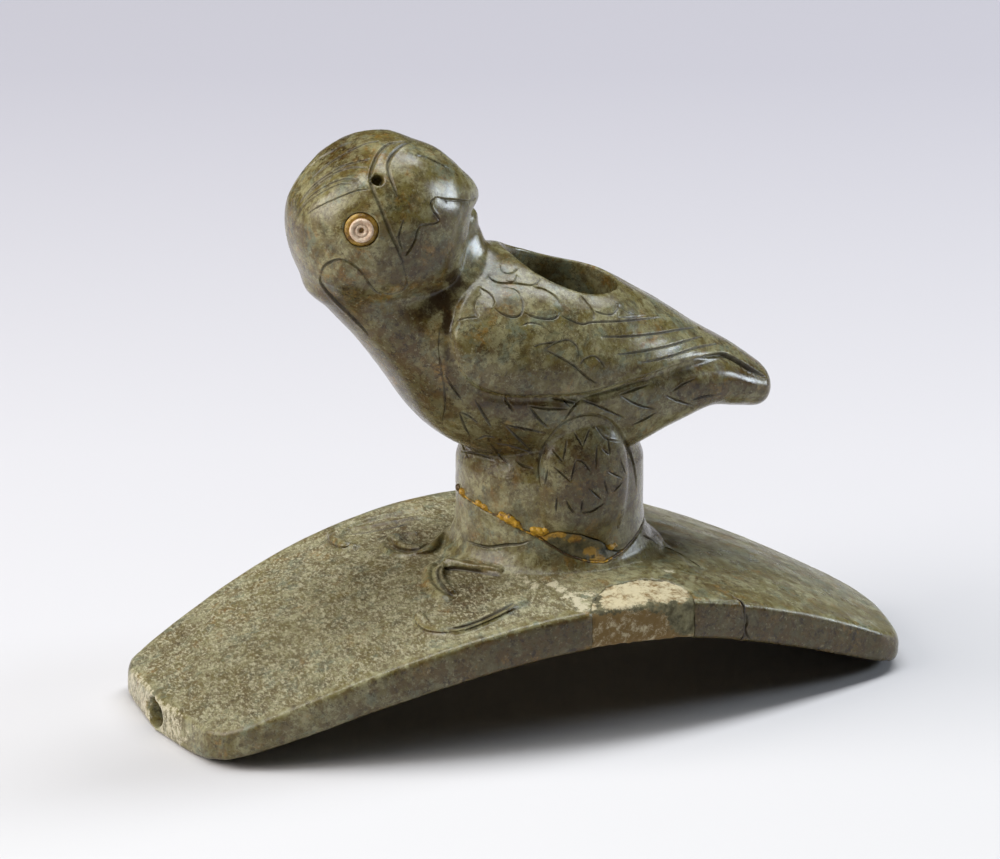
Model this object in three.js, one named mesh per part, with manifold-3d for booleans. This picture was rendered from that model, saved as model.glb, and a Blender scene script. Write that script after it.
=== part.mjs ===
// A carved stone effigy pipe, mended from its broken pieces.
// A bird stands on a curved slab and looks back over its own tail. The slab is the stem: a
// straight bore runs from the middle of one end to the foot of the bowl, which is drilled
// down through the bird's back. Millimetres, +Z up, the slab along X with its mouth end at
// -X, Y = 0 the plane that halves the bird, and Z = 0 the surface the pipe rests on.

import * as THREE from "three";
import { mergeVertices } from "three/addons/utils/BufferGeometryUtils.js";
import Module from "manifold-3d";

const wasm = await Module();
wasm.setup();

// Driving dimensions of the slab: [x, half width, top of the edge, bottom of the edge]
const HALF_LENGTH = 50;
const SLAB = [
  [-50, 15.7, 2.9, -0.3],
  [-40, 19.2, 7.7, 3.0],
  [-25, 23.1, 13.6, 8.2],
  [-10, 24.9, 17.3, 11.8],
  [2, 24.9, 18.3, 12.9],
  [15, 23.3, 17.4, 11.9],
  [30, 19.6, 12.8, 7.5],
  [40, 16.4, 8.4, 3.6],
  [50, 12.7, 3.1, -0.3],
];
const CORNER_SETBACK = { nearMouth: 2.8, farMouth: 1.2, nearRear: 1.6, farRear: 3.2 };
const CORNER_RADIUS = { nearMouth: 4.2, farMouth: 2.4, nearRear: 3.2, farRear: 5 };
const TOP_CROWN = 1.4;
const UNDERSIDE_CROWN = 0.8;
const UPPER_EDGE_ROUNDING = 0.6;
const LOWER_EDGE_ROUNDING = 1.2;
const EDGE_STEPS = 3;
const FLAT_STEPS = [0.35, 0.65, 0.92];
const OUTLINE_POINTS = 38;

// Driving dimensions of the pedestal, the bowl and the stem bore
const PEDESTAL_X = 4;
const PEDESTAL_RADIUS = 12.05;
const PEDESTAL_FLARE = 2.4;
const PEDESTAL_SIDES = 44;
const BOWL_X = 4.9;
const BOWL_Y = -0.5;
const BOWL_MOUTH_RADIUS = 8.2;
const BOWL_FOOT_RADIUS = 4.6;
const BOWL_FLOOR = 16;
const BOWL_SIDES = 28;
const BORE_RADIUS = 1.6;
const BORE_SIDES = 16;
const BORE_MOUTH = new THREE.Vector3(-HALF_LENGTH - 1, 0, 1.95);
const BORE_FOOT = new THREE.Vector3(0.5, 0, 18);

// The trunk from the neck to the tail: [lower x, lower z, upper x, upper z, half width,
// how much narrower the upper side is], because the neck draws in behind the face
const TRUNK = [
  [-28.9, 58.6, -7.8, 64.5, 8.7, 0.5],
  [-26.1, 54.2, -6.2, 62.5, 9.3, 0.48],
  [-22.3, 49.8, -4.6, 60.6, 10.4, 0.38],
  [-18.8, 45, -1.3, 59.5, 11.7, 0.16],
  [-15.3, 39.8, 3.4, 58, 12.5, 0.04],
  [-11.4, 35.9, 7.6, 56.1, 12.9, 0],
  [-5.5, 32.6, 11.2, 54.4, 12.8, 0],
  [2, 31, 14.6, 52.2, 12.2, 0],
  [10, 30.9, 19.2, 49.2, 10.9, 0],
  [18, 33.9, 24, 45.9, 9.2, 0],
  [23.5, 35.8, 28.7, 43, 7.6, 0],
  [28.6, 35.1, 31.9, 40.9, 6.2, 0],
  [32.3, 34.8, 33.8, 39.3, 4.4, 0],
];
const TRUNK_FRONT = new THREE.Vector3(-18, 0, 66);
const TRUNK_TAIL = new THREE.Vector3(34.3, 0, 37);
const TRUNK_SIDES = 36;
const TRUNK_FULLNESS = 2.15;

// The head from the nape to the tip of the beak: [x, lower z, upper z, half width]
const HEAD = [
  [-30.5, 62.4, 68.6, 3.8],
  [-29.2, 58.6, 70.9, 6.4],
  [-26.9, 55.8, 73.3, 8.6],
  [-24, 54.8, 75.3, 10],
  [-20.5, 54.4, 76.6, 10.6],
  [-17, 54, 76.6, 10.3],
  [-14, 54, 75.1, 9.4],
  [-11.4, 54.6, 73.9, 8],
  [-9.6, 57, 72.5, 6.2],
  [-8.2, 62.6, 71.2, 4.5],
  [-6.5, 65.9, 69.5, 2.3],
];
const NAPE = new THREE.Vector3(-30.9, 0, 65.5);
const BEAK_TIP = new THREE.Vector3(-5.7, 0, 67.4);
const HEAD_SIDES = 32;
const HEAD_FULLNESS = 2.25;

// The folded wings stand proud of the trunk as one mantle over the back
const MANTLE_RELIEF = 1.1;
const MANTLE_LOWER_EDGE = [
  [-13.6, 55.4],
  [-14.6, 52.6],
  [-13.4, 48.8],
  [-9.9, 45.9],
  [-3.6, 43.9],
  [3.5, 43.3],
  [11, 43.9],
  [18.4, 44.3],
  [23.4, 45],
  [25.6, 44.4],
];

// The thighs bulge from the pedestal and the belly: centre and half sizes
const THIGH_CENTRE = new THREE.Vector3(4.6, 9.9, 29.6);
const THIGH_HALF_SIZE = new THREE.Vector3(6.3, 3.9, 11.2);
const THIGH_LEAN = 0.07;

// The toes on the slab, in plan, from the foot to the tip of the talon: [x, y]
const TOES = [
  [
    [-4.5, -9],
    [-8.7, -5.3],
    [-11.6, -3],
    [-13.4, -6.2],
    [-13.6, -11.4],
  ],
  [
    [-6.5, -18.2],
    [-11.9, -20],
    [-16.2, -20.2],
    [-19, -17.2],
    [-18.9, -13.2],
  ],
];
const TOE_WIDTH = 2.6;
const TOE_RELIEF = 0.8;

// The breaks and their mending
const SEAM_GAP = 0.3;
const FILM_HALF = 0.12;
const FILL_GAP = 0.2;
const PEDESTAL_BREAK = [
  [-14, 28.4],
  [-8.6, 27.1],
  [-5.7, 25.9],
  [-1.4, 23.6],
  [1.5, 21.6],
  [4.4, 20.4],
  [6.6, 20],
  [9.8, 20.7],
  [12.4, 21.6],
  [22, 24.4],
];
const SLAB_CRACK = [
  [23.2, -30],
  [22.6, -22],
  [20.8, -19],
  [19.3, -14],
  [18.7, -6.3],
  [18.4, 0],
  [17.6, 6],
  [14.4, 12],
  [9.4, 17],
  [3.2, 21],
  [-0.6, 30],
];
const PLASTER_OUTLINE = [
  [0.4, -30],
  [0.2, -24.4],
  [1.6, -21.6],
  [4.6, -18.4],
  [9.4, -17],
  [13.4, -17.6],
  [15.3, -20],
  [14.3, -30],
];
const CHIP_OUTLINE = [
  [-0.9, 24.1],
  [0.6, 24.8],
  [3.4, 24.2],
  [6, 23],
  [8.3, 21],
];
const CHIP_DEPTH = 2.6;

// The inlaid eyes and the nostrils
const EYE_CENTRE = new THREE.Vector3(-25, -9.4, 67.4);
const EYE_FACING = new THREE.Vector3(-0.34, -1, 0.12).normalize();
const SOCKET_RADIUS = 2.2;
const SOCKET_DEPTH = 1.5;
const BED_RADIUS = 2.02;
const RING_RADIUS = 1.53;
const RING_HOLE_RADIUS = 0.8;
const INLAY_GAP = 0.17;
const EYE_SIDES = 20;
const NOSTRIL_CENTRE = new THREE.Vector3(-22.1, -7.6, 73.2);
const NOSTRIL_RADIUS = 0.72;
const NOSTRIL_DEPTH = 2.4;

// Colours of the stone and of what mends it
const FINISHES = {
  front: { color: 0x6c6a4e, roughness: 0.5, metalness: 0 },
  rear: { color: 0x5f6656, roughness: 0.45, metalness: 0 },
  bird: { color: 0x6a6b50, roughness: 0.3, metalness: 0 },
  resin: { color: 0xb07a24, roughness: 0.35, metalness: 0 },
  plaster: { color: 0xb9a37c, roughness: 0.9, metalness: 0 },
  bone: { color: 0xdcc0a0, roughness: 0.5, metalness: 0 },
};

// Turns a closed geometry into a solid that can be joined and cut. A geometry whose faces
// point inwards, such as a ring drawn the other way round, is turned round first.
function solidOf(geometry) {
  const bare = geometry.clone();
  bare.deleteAttribute("normal");
  bare.deleteAttribute("uv");
  const merged = mergeVertices(bare, 1e-4);
  const vertProperties = new Float32Array(merged.attributes.position.array);
  const triVerts = new Uint32Array(merged.index.array);
  const made = new wasm.Manifold(new wasm.Mesh({ numProp: 3, vertProperties, triVerts }));
  if (made.volume() > 0) return made;
  return new wasm.Manifold(
    new wasm.Mesh({ numProp: 3, vertProperties, triVerts: triVerts.reverse() }),
  );
}

// Turns a solid back into a named mesh.
function meshOf(name, solid, finish) {
  const { vertProperties, triVerts } = solid.getMesh();
  const geometry = new THREE.BufferGeometry();
  geometry.setAttribute("position", new THREE.BufferAttribute(vertProperties, 3));
  geometry.setIndex(new THREE.BufferAttribute(triVerts, 1));
  geometry.computeVertexNormals();
  const mesh = new THREE.Mesh(geometry, new THREE.MeshStandardMaterial(finish));
  mesh.name = name;
  return mesh;
}

// Skins a list of rings, each with the same number of points, and closes both ends: by a
// fan to a pole, or where no pole is given by joining the ring's two long sides.
function skin(rings, firstPole, lastPole) {
  const count = rings[0].length;
  const positions = rings.flat().flatMap((p) => [p.x, p.y, p.z]);
  const index = [];
  for (let r = 0; r + 1 < rings.length; r++) {
    for (let i = 0; i < count; i++) {
      const a = r * count + i;
      const b = r * count + ((i + 1) % count);
      index.push(a, b, b + count, a, b + count, a + count);
    }
  }
  const fan = (pole, start, forward) => {
    const centre = positions.length / 3;
    positions.push(pole.x, pole.y, pole.z);
    for (let i = 0; i < count; i++) {
      const a = start + i;
      const b = start + ((i + 1) % count);
      index.push(...(forward ? [a, b, centre] : [b, a, centre]));
    }
  };
  const join = (start, forward) => {
    for (let i = 0; i < count / 2; i++) {
      const across = (count - i) % count;
      const quad = [i, i + 1, count - i - 1, across].map((corner) => start + corner);
      const [a, b, c, d] = forward ? quad : quad.reverse();
      if (a !== d) index.push(a, b, d);
      if (b !== c) index.push(b, c, d);
    }
  };
  if (firstPole) fan(firstPole, 0, false);
  else join(0, false);
  if (lastPole) fan(lastPole, (rings.length - 1) * count, true);
  else join((rings.length - 1) * count, true);
  const geometry = new THREE.BufferGeometry();
  geometry.setAttribute("position", new THREE.Float32BufferAttribute(positions, 3));
  geometry.setIndex(index);
  return geometry;
}

// An oval ring of the trunk or head, through a lower and an upper point of the Y = 0 plane.
function ovalRing(lower, upper, halfWidth, sides, fullness, narrowing = 0) {
  const centre = lower.clone().add(upper).multiplyScalar(0.5);
  const halfHeight = upper.clone().sub(lower).multiplyScalar(0.5);
  const bulge = (value) => Math.sign(value) * Math.abs(value) ** (2 / fullness);
  return Array.from({ length: sides }, (_, i) => {
    const angle = (2 * Math.PI * i) / sides;
    const height = bulge(Math.cos(angle));
    const point = centre.clone().addScaledVector(halfHeight, height);
    point.y = halfWidth * bulge(Math.sin(angle)) * (1 - narrowing * (0.5 + 0.5 * height));
    return point;
  });
}

// Revolves a profile of [radius, z] about the upright line through x.
function revolve(profile, sides, x) {
  const points = profile.map(([radius, z]) => new THREE.Vector2(radius, z));
  const geometry = new THREE.LatheGeometry(points, sides);
  geometry.rotateX(Math.PI / 2);
  geometry.translate(x, 0, 0);
  return solidOf(geometry);
}

// A prism of an outline of [x, z] that runs along Y, or of [x, y] that runs along Z.
function prismAlongY(outline, fromY, toY) {
  const shape = new THREE.Shape(outline.map(([x, z]) => new THREE.Vector2(x, z)));
  const geometry = new THREE.ExtrudeGeometry(shape, {
    depth: toY - fromY,
    bevelEnabled: false,
  });
  geometry.rotateX(Math.PI / 2);
  geometry.translate(0, toY, 0);
  return solidOf(geometry);
}

function prismAlongZ(outline, fromZ, toZ) {
  const shape = new THREE.Shape(outline.map(([x, y]) => new THREE.Vector2(x, y)));
  const geometry = new THREE.ExtrudeGeometry(shape, {
    depth: toZ - fromZ,
    bevelEnabled: false,
  });
  geometry.translate(0, 0, fromZ);
  return solidOf(geometry);
}

// A round rod from one point to another.
function rod(from, to, radius, sides) {
  const length = from.distanceTo(to);
  const geometry = new THREE.CylinderGeometry(radius, radius, length, sides);
  const along = to.clone().sub(from).normalize();
  const turn = new THREE.Quaternion().setFromUnitVectors(new THREE.Vector3(0, 1, 0), along);
  geometry.applyQuaternion(turn);
  const middle = from.clone().add(to).multiplyScalar(0.5);
  geometry.translate(middle.x, middle.y, middle.z);
  return solidOf(geometry);
}

// The slab

const slabSpline = new THREE.CubicInterpolant(
  SLAB.map(([x]) => x),
  SLAB.flatMap(([, width, top, bottom]) => [width, top, bottom]),
  3,
);

function slabAt(x) {
  const [halfWidth, top, bottom] = slabSpline.evaluate(THREE.MathUtils.clamp(x, -50, 50));
  return { halfWidth, top, bottom };
}

function slabTop(x, y) {
  const { halfWidth, top } = slabAt(x);
  return top + TOP_CROWN * Math.max(0, 1 - (y / halfWidth) ** 2);
}

function slabBottom(x, y) {
  const { halfWidth, bottom } = slabAt(x);
  return bottom - UNDERSIDE_CROWN * Math.max(0, 1 - (y / halfWidth) ** 2);
}

// Half the outline in plan from the tail apex round the +Y side to the mouth apex. Both ends
// are a little askew, so their near and far corners differ.
function slabHalfOutline(half) {
  const cornerAt = (side, setback) => {
    const x = side * (HALF_LENGTH - setback);
    return new THREE.Vector2(x, slabAt(x).halfWidth);
  };
  const rear = cornerAt(1, CORNER_SETBACK[`${half}Rear`]);
  const front = cornerAt(-1, CORNER_SETBACK[`${half}Mouth`]);
  const rearRadius = CORNER_RADIUS[`${half}Rear`];
  const frontRadius = CORNER_RADIUS[`${half}Mouth`];
  const towards = (from, to, distance) =>
    from.clone().add(to.clone().sub(from).setLength(distance));
  const rearApex = new THREE.Vector2(HALF_LENGTH, 0);
  const frontApex = new THREE.Vector2(-HALF_LENGTH, 0);
  const path = new THREE.Path();
  path.moveTo(rearApex.x, rearApex.y);
  const intoRear = towards(rear, rearApex, rearRadius);
  path.lineTo(intoRear.x, intoRear.y);
  const rearEnd = rear.x - rearRadius;
  path.quadraticCurveTo(rear.x, rear.y, rearEnd, slabAt(rearEnd).halfWidth);
  const frontStart = front.x + frontRadius;
  const sidePoints = [];
  for (let step = 1; step <= 8; step++) {
    const x = THREE.MathUtils.lerp(rearEnd, frontStart, step / 8);
    sidePoints.push(new THREE.Vector2(x, slabAt(x).halfWidth));
  }
  path.splineThru(sidePoints);
  const outOfFront = towards(front, frontApex, frontRadius);
  path.quadraticCurveTo(front.x, front.y, outOfFront.x, outOfFront.y);
  path.lineTo(frontApex.x, frontApex.y);
  return path.getSpacedPoints(OUTLINE_POINTS);
}

// One ring of the slab: inset 0 is the outline and inset 1 would be the centre line.
function slabRing(outline, inset, heightAt) {
  return outline.map((p) => {
    const x = p.x * (1 - inset / 2);
    const y = p.y * (1 - inset);
    return new THREE.Vector3(x, y, heightAt(x, y));
  });
}

function slabSolid() {
  const far = slabHalfOutline("far");
  const near = slabHalfOutline("near").slice(1, -1).reverse();
  const outline = [...far, ...near.map((p) => new THREE.Vector2(p.x, -p.y))];
  const rings = [];
  const middleWidth = slabAt(0).halfWidth;
  for (const inset of FLAT_STEPS) rings.unshift(slabRing(outline, inset, slabBottom));
  for (let step = EDGE_STEPS; step >= 0; step--) {
    const angle = (Math.PI / 2) * (step / EDGE_STEPS);
    const rise = LOWER_EDGE_ROUNDING * (1 - Math.sin(angle));
    const inset = (LOWER_EDGE_ROUNDING * (1 - Math.cos(angle))) / middleWidth;
    rings.push(slabRing(outline, inset, (x, y) => slabBottom(x, y) + rise));
  }
  for (let step = 0; step <= EDGE_STEPS; step++) {
    const angle = (Math.PI / 2) * (step / EDGE_STEPS);
    const drop = UPPER_EDGE_ROUNDING * (1 - Math.sin(angle));
    const inset = (UPPER_EDGE_ROUNDING * (1 - Math.cos(angle))) / middleWidth;
    rings.push(slabRing(outline, inset, (x, y) => slabTop(x, y) - drop));
  }
  for (const inset of FLAT_STEPS) rings.push(slabRing(outline, inset, slabTop));
  const whole = solidOf(skin(rings));
  const floor = new THREE.BoxGeometry(3 * HALF_LENGTH, 2 * HALF_LENGTH, 10);
  floor.translate(0, 0, -5);
  return whole.subtract(solidOf(floor));
}

// A toe: a low ridge that follows the slab's top and narrows to the tip of its talon.
function toeSolid(points, side) {
  const curve = new THREE.CatmullRomCurve3(
    points.map(([x, y]) => new THREE.Vector3(x, y * side, 0)),
  );
  const steps = 14;
  const rings = [];
  for (let step = 0; step <= steps; step++) {
    const at = step / steps;
    const centre = curve.getPoint(at);
    const along = curve.getTangent(at);
    const across = new THREE.Vector3(-along.y, along.x, 0);
    const halfWidth = (TOE_WIDTH / 2) * (1 - 0.6 * at);
    rings.push(
      [
        [-1, -1],
        [-1, 0],
        [-0.6, 0.8],
        [0, 1],
        [0.6, 0.8],
        [1, 0],
        [1, -1],
      ].map(([sideways, height]) => {
        const point = centre.clone().addScaledVector(across, sideways * halfWidth);
        point.z = slabTop(point.x, point.y) + height * TOE_RELIEF;
        return point;
      }),
    );
  }
  const poleOf = (ring) => {
    const sum = ring.reduce((total, point) => total.add(point), new THREE.Vector3());
    return sum.multiplyScalar(1 / ring.length);
  };
  return solidOf(skin(rings, poleOf(rings[0]), poleOf(rings.at(-1))));
}

// The bird

function trunkSolid(extraWidth, extraHeight) {
  const rings = TRUNK.map(([lowX, lowZ, highX, highZ, halfWidth, narrowing]) => {
    const lower = new THREE.Vector3(lowX, 0, lowZ);
    const upper = new THREE.Vector3(highX, 0, highZ);
    const outward = upper.clone().sub(lower).setLength(extraHeight);
    return ovalRing(
      lower.sub(outward),
      upper.add(outward),
      halfWidth + extraWidth,
      TRUNK_SIDES,
      TRUNK_FULLNESS,
      narrowing,
    );
  });
  return solidOf(skin(rings, TRUNK_FRONT, TRUNK_TAIL));
}

function headSolid() {
  const rings = HEAD.map(([x, lowZ, highZ, halfWidth]) =>
    ovalRing(
      new THREE.Vector3(x, 0, lowZ),
      new THREE.Vector3(x, 0, highZ),
      halfWidth,
      HEAD_SIDES,
      HEAD_FULLNESS,
    ),
  );
  return solidOf(skin(rings, NAPE, BEAK_TIP));
}

// The mantle is a slightly larger trunk, kept only above the wings' lower edge.
function mantleSolid() {
  const edge = new THREE.SplineCurve(
    MANTLE_LOWER_EDGE.map(([x, z]) => new THREE.Vector2(x, z)),
  ).getPoints(36);
  const outline = [
    ...edge.map((p) => [p.x, p.y]),
    [28, 47],
    [24, 58],
    [-2, 66],
    [-5.5, 62.4],
    [-10, 59.8],
  ];
  return trunkSolid(MANTLE_RELIEF, MANTLE_RELIEF / 3).intersect(prismAlongY(outline, -20, 20));
}

function thighSolid(side) {
  const geometry = new THREE.SphereGeometry(1, 24, 16);
  geometry.rotateX(Math.PI / 2);
  geometry.scale(THIGH_HALF_SIZE.x, THIGH_HALF_SIZE.y, THIGH_HALF_SIZE.z);
  geometry.rotateY(THIGH_LEAN);
  geometry.translate(THIGH_CENTRE.x, THIGH_CENTRE.y * side, THIGH_CENTRE.z);
  return solidOf(geometry);
}

function pedestalSolid() {
  const waist = PEDESTAL_RADIUS;
  return revolve(
    [
      [0, 15],
      [waist + 1.6 * PEDESTAL_FLARE, 15],
      [waist + PEDESTAL_FLARE, 18.6],
      [waist + 0.45 * PEDESTAL_FLARE, 19.9],
      [waist + 0.12 * PEDESTAL_FLARE, 21.6],
      [waist, 24],
      [waist, 31],
      [waist - 2, 37],
      [0, 37],
    ],
    PEDESTAL_SIDES,
    PEDESTAL_X,
  );
}

function bowlSolid() {
  return revolve(
    [
      [0, BOWL_FLOOR],
      [0.6 * BOWL_FOOT_RADIUS, BOWL_FLOOR + 0.4],
      [BOWL_FOOT_RADIUS, BOWL_FLOOR + 2.6],
      [THREE.MathUtils.lerp(BOWL_FOOT_RADIUS, BOWL_MOUTH_RADIUS, 0.45), 30],
      [THREE.MathUtils.lerp(BOWL_FOOT_RADIUS, BOWL_MOUTH_RADIUS, 0.85), 46],
      [BOWL_MOUTH_RADIUS, 56],
      [BOWL_MOUTH_RADIUS + 0.4, 70],
      [0, 70],
    ],
    BOWL_SIDES,
    BOWL_X,
  ).translate([0, BOWL_Y, 0]);
}

// The eyes: each has a socket in the head, a bed of resin in it, and a bone ring in the bed

function onEye(geometry, side) {
  const facing = EYE_FACING.clone();
  const centre = EYE_CENTRE.clone();
  facing.y *= side;
  centre.y *= side;
  const turn = new THREE.Quaternion().setFromUnitVectors(new THREE.Vector3(0, 1, 0), facing);
  geometry.applyQuaternion(turn);
  geometry.translate(centre.x, centre.y, centre.z);
  return solidOf(geometry);
}

function lathe(profile) {
  const points = profile.map(([radius, height]) => new THREE.Vector2(radius, height));
  return new THREE.LatheGeometry(points, EYE_SIDES);
}

function socketSolid(side) {
  return onEye(
    lathe([
      [0, -SOCKET_DEPTH],
      [SOCKET_RADIUS, -SOCKET_DEPTH],
      [SOCKET_RADIUS, 2],
      [0, 2],
    ]),
    side,
  );
}

function eyeBedSolid(side) {
  const floor = -SOCKET_DEPTH + INLAY_GAP;
  const seat = floor + 0.5;
  return onEye(
    lathe([
      [0, floor],
      [BED_RADIUS, floor],
      [BED_RADIUS, -0.1],
      [RING_RADIUS + INLAY_GAP, -0.1],
      [RING_RADIUS + INLAY_GAP, seat],
      [0, seat],
    ]),
    side,
  );
}

function eyeRingSolid(side) {
  const back = -SOCKET_DEPTH + 2 * INLAY_GAP + 0.5;
  return onEye(
    lathe([
      [RING_HOLE_RADIUS, back],
      [RING_RADIUS, back],
      [RING_RADIUS, 0],
      [RING_RADIUS - 0.2, 0.15],
      [RING_HOLE_RADIUS + 0.15, 0.15],
      [RING_HOLE_RADIUS, 0],
      [RING_HOLE_RADIUS, back],
    ]),
    side,
  );
}

function nostrilSolid(side) {
  const outer = NOSTRIL_CENTRE.clone();
  outer.y *= side;
  const inward = new THREE.Vector3(0.1, 0.75 * side, -0.5).normalize();
  const inner = outer.clone().addScaledVector(inward, NOSTRIL_DEPTH);
  outer.addScaledVector(inward, -2);
  return rod(outer, inner, NOSTRIL_RADIUS, 12);
}

// The breaks: the pedestal broke on a slant, and the slab broke across behind it

function shifted(line, distance) {
  return line.map(([x, z]) => [x, z + distance]);
}

function aboveBreak() {
  const above = [...shifted(PEDESTAL_BREAK, SEAM_GAP), [60, 30], [60, 90], [-60, 90], [-60, 40]];
  return prismAlongY(above, -40, 40);
}

function belowBreak() {
  return prismAlongY([...shifted(PEDESTAL_BREAK, -SEAM_GAP), [22, -5], [-14, -5]], -40, 40);
}

function atBreak() {
  const top = shifted(PEDESTAL_BREAK, FILM_HALF);
  const bottom = shifted(PEDESTAL_BREAK, -FILM_HALF).reverse();
  return prismAlongY([...top, ...bottom], -40, 40);
}

function crackSide(shift, farX) {
  const edge = SLAB_CRACK.map(([x, y]) => [x + shift, y]);
  return prismAlongZ([...edge, [farX, 30], [farX, -30]], -5, 18.4 + 12);
}

function grown(outline, centre, distance) {
  return outline.map(([x, y]) => {
    const away = new THREE.Vector2(x - centre[0], y - centre[1]);
    away.setLength(away.length() + distance);
    return [centre[0] + away.x, centre[1] + away.y];
  });
}

const slab = slabSolid();
const bore = rod(BORE_MOUTH, BORE_FOOT, BORE_RADIUS, BORE_SIDES);
const pedestal = pedestalSolid();
const bowl = bowlSolid();
const hollow = bowl.add(bore);
const toes = TOES.map((points) => toeSolid(points, 1).add(toeSolid(points, -1)));
const thighs = thighSolid(1).add(thighSolid(-1));

// The small chip at the foot of the near thigh is filled with resin and stone dust
const chipOutline = [...CHIP_OUTLINE, ...shifted(PEDESTAL_BREAK.slice(4, 7), SEAM_GAP).reverse()];
const chipFront = PEDESTAL_RADIUS + 3;
const chipBack = PEDESTAL_RADIUS - CHIP_DEPTH;
const chipCut = prismAlongY(grown(chipOutline, [3.6, 22], FILL_GAP), -chipFront, -chipBack);
const chipFill = prismAlongY(chipOutline, -chipFront, -chipBack - FILL_GAP);

const plasterCut = prismAlongZ(PLASTER_OUTLINE, 5, 30);
const plasterFill = prismAlongZ(grown(PLASTER_OUTLINE, [7.4, -24], -FILL_GAP), 5, 30);

const rearStone = slab.intersect(crackSide(SEAM_GAP, 60));
const crackFilm = slab.subtract(crackSide(-FILM_HALF, -60)).subtract(crackSide(FILM_HALF, 60));

const birdStock = trunkSolid(0, 0)
  .add(mantleSolid())
  .add(headSolid())
  .add(thighs)
  .add(pedestal)
  .subtract(slab)
  .subtract(hollow);
const sockets = socketSolid(1).add(socketSolid(-1));
const nostrils = nostrilSolid(1).add(nostrilSolid(-1));
const bird = birdStock.intersect(aboveBreak()).subtract(sockets).subtract(nostrils).subtract(chipCut);
const frontStone = slab
  .add(toes[0])
  .add(toes[1])
  .add(pedestal.intersect(belowBreak()))
  .intersect(crackSide(-SEAM_GAP, -60))
  .subtract(hollow)
  .subtract(plasterCut);

const pipe = new THREE.Group();
pipe.add(
  meshOf("platform_front", frontStone, FINISHES.front),
  meshOf("platform_rear", rearStone, FINISHES.rear),
  meshOf("platform_seam_adhesive", crackFilm, FINISHES.resin),
  meshOf("bird", bird, FINISHES.bird),
  meshOf("pedestal_seam_adhesive", birdStock.intersect(atBreak()), FINISHES.resin),
  meshOf("pedestal_chip_fill", birdStock.intersect(chipFill), FINISHES.resin),
  meshOf("plaster_fill", slab.intersect(plasterFill), FINISHES.plaster),
);
for (const [side, word] of [
  [1, "right"],
  [-1, "left"],
]) {
  pipe.add(
    meshOf(`eye_bed_${word}`, eyeBedSolid(side), FINISHES.resin),
    meshOf(`eye_ring_${word}`, eyeRingSolid(side), FINISHES.bone),
  );
}

export default pipe;
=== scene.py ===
import math

import bpy
import numpy as np
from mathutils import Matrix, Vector
from mathutils.bvhtree import BVHTree


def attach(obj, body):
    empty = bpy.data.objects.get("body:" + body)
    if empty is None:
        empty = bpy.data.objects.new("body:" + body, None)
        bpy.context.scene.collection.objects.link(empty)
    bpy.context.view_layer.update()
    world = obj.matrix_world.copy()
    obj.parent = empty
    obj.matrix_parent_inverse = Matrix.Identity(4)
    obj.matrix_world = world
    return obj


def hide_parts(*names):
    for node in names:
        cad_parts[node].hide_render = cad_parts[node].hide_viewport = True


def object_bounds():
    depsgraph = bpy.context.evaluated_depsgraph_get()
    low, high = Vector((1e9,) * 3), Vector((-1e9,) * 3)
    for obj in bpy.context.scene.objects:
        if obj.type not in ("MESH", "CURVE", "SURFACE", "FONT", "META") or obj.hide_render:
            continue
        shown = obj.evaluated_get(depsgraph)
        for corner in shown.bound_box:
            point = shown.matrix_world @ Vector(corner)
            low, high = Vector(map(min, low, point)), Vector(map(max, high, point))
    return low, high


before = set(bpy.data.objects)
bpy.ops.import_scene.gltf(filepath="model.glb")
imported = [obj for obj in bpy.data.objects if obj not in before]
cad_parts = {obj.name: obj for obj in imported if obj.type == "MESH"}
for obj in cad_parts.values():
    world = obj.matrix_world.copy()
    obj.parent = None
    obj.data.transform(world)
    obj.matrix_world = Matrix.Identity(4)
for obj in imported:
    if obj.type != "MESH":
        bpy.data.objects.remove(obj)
cad_low, cad_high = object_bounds()
MM = 0.001


# The camera
# It looks down a little on the near side of the bird, from far off with a long lens, as the
# photograph was taken.
CAMERA_DIP, CAMERA_TURN = 19.408, 20.854
bpy.ops.object.camera_add(
    location=(-0.50643, -1.32211, 0.53345),
    rotation=(math.radians(90 - CAMERA_DIP), 0, math.radians(-CAMERA_TURN)),
)
camera = bpy.context.object
camera.data.lens = 421.9
camera.data.sensor_width = 36
bpy.context.scene.camera = camera
bpy.context.scene.view_settings.view_transform = "Standard"


# The table top and the light
# A sheet of pale board, lavender grey and painted darker towards the back: a painted fall-off of the
# light. A long cool lamp hangs lengthways over the pipe and draws the bright lines on the rims. A low
# blue one at the right shines on the wing and the neck, and a warm one lights the pipe from the left.
def soft_lamp(name, place, size, power, tint):
    bpy.ops.object.light_add(type="AREA", location=place)
    lamp = bpy.context.object
    lamp.name = name
    lamp.rotation_euler = (Vector((0, 0, 0.03)) - Vector(place)).to_track_quat("-Z", "Y").to_euler()
    lamp.data.shape = "RECTANGLE"
    lamp.data.size, lamp.data.size_y = size
    lamp.data.energy = power
    lamp.data.color = tint


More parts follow.
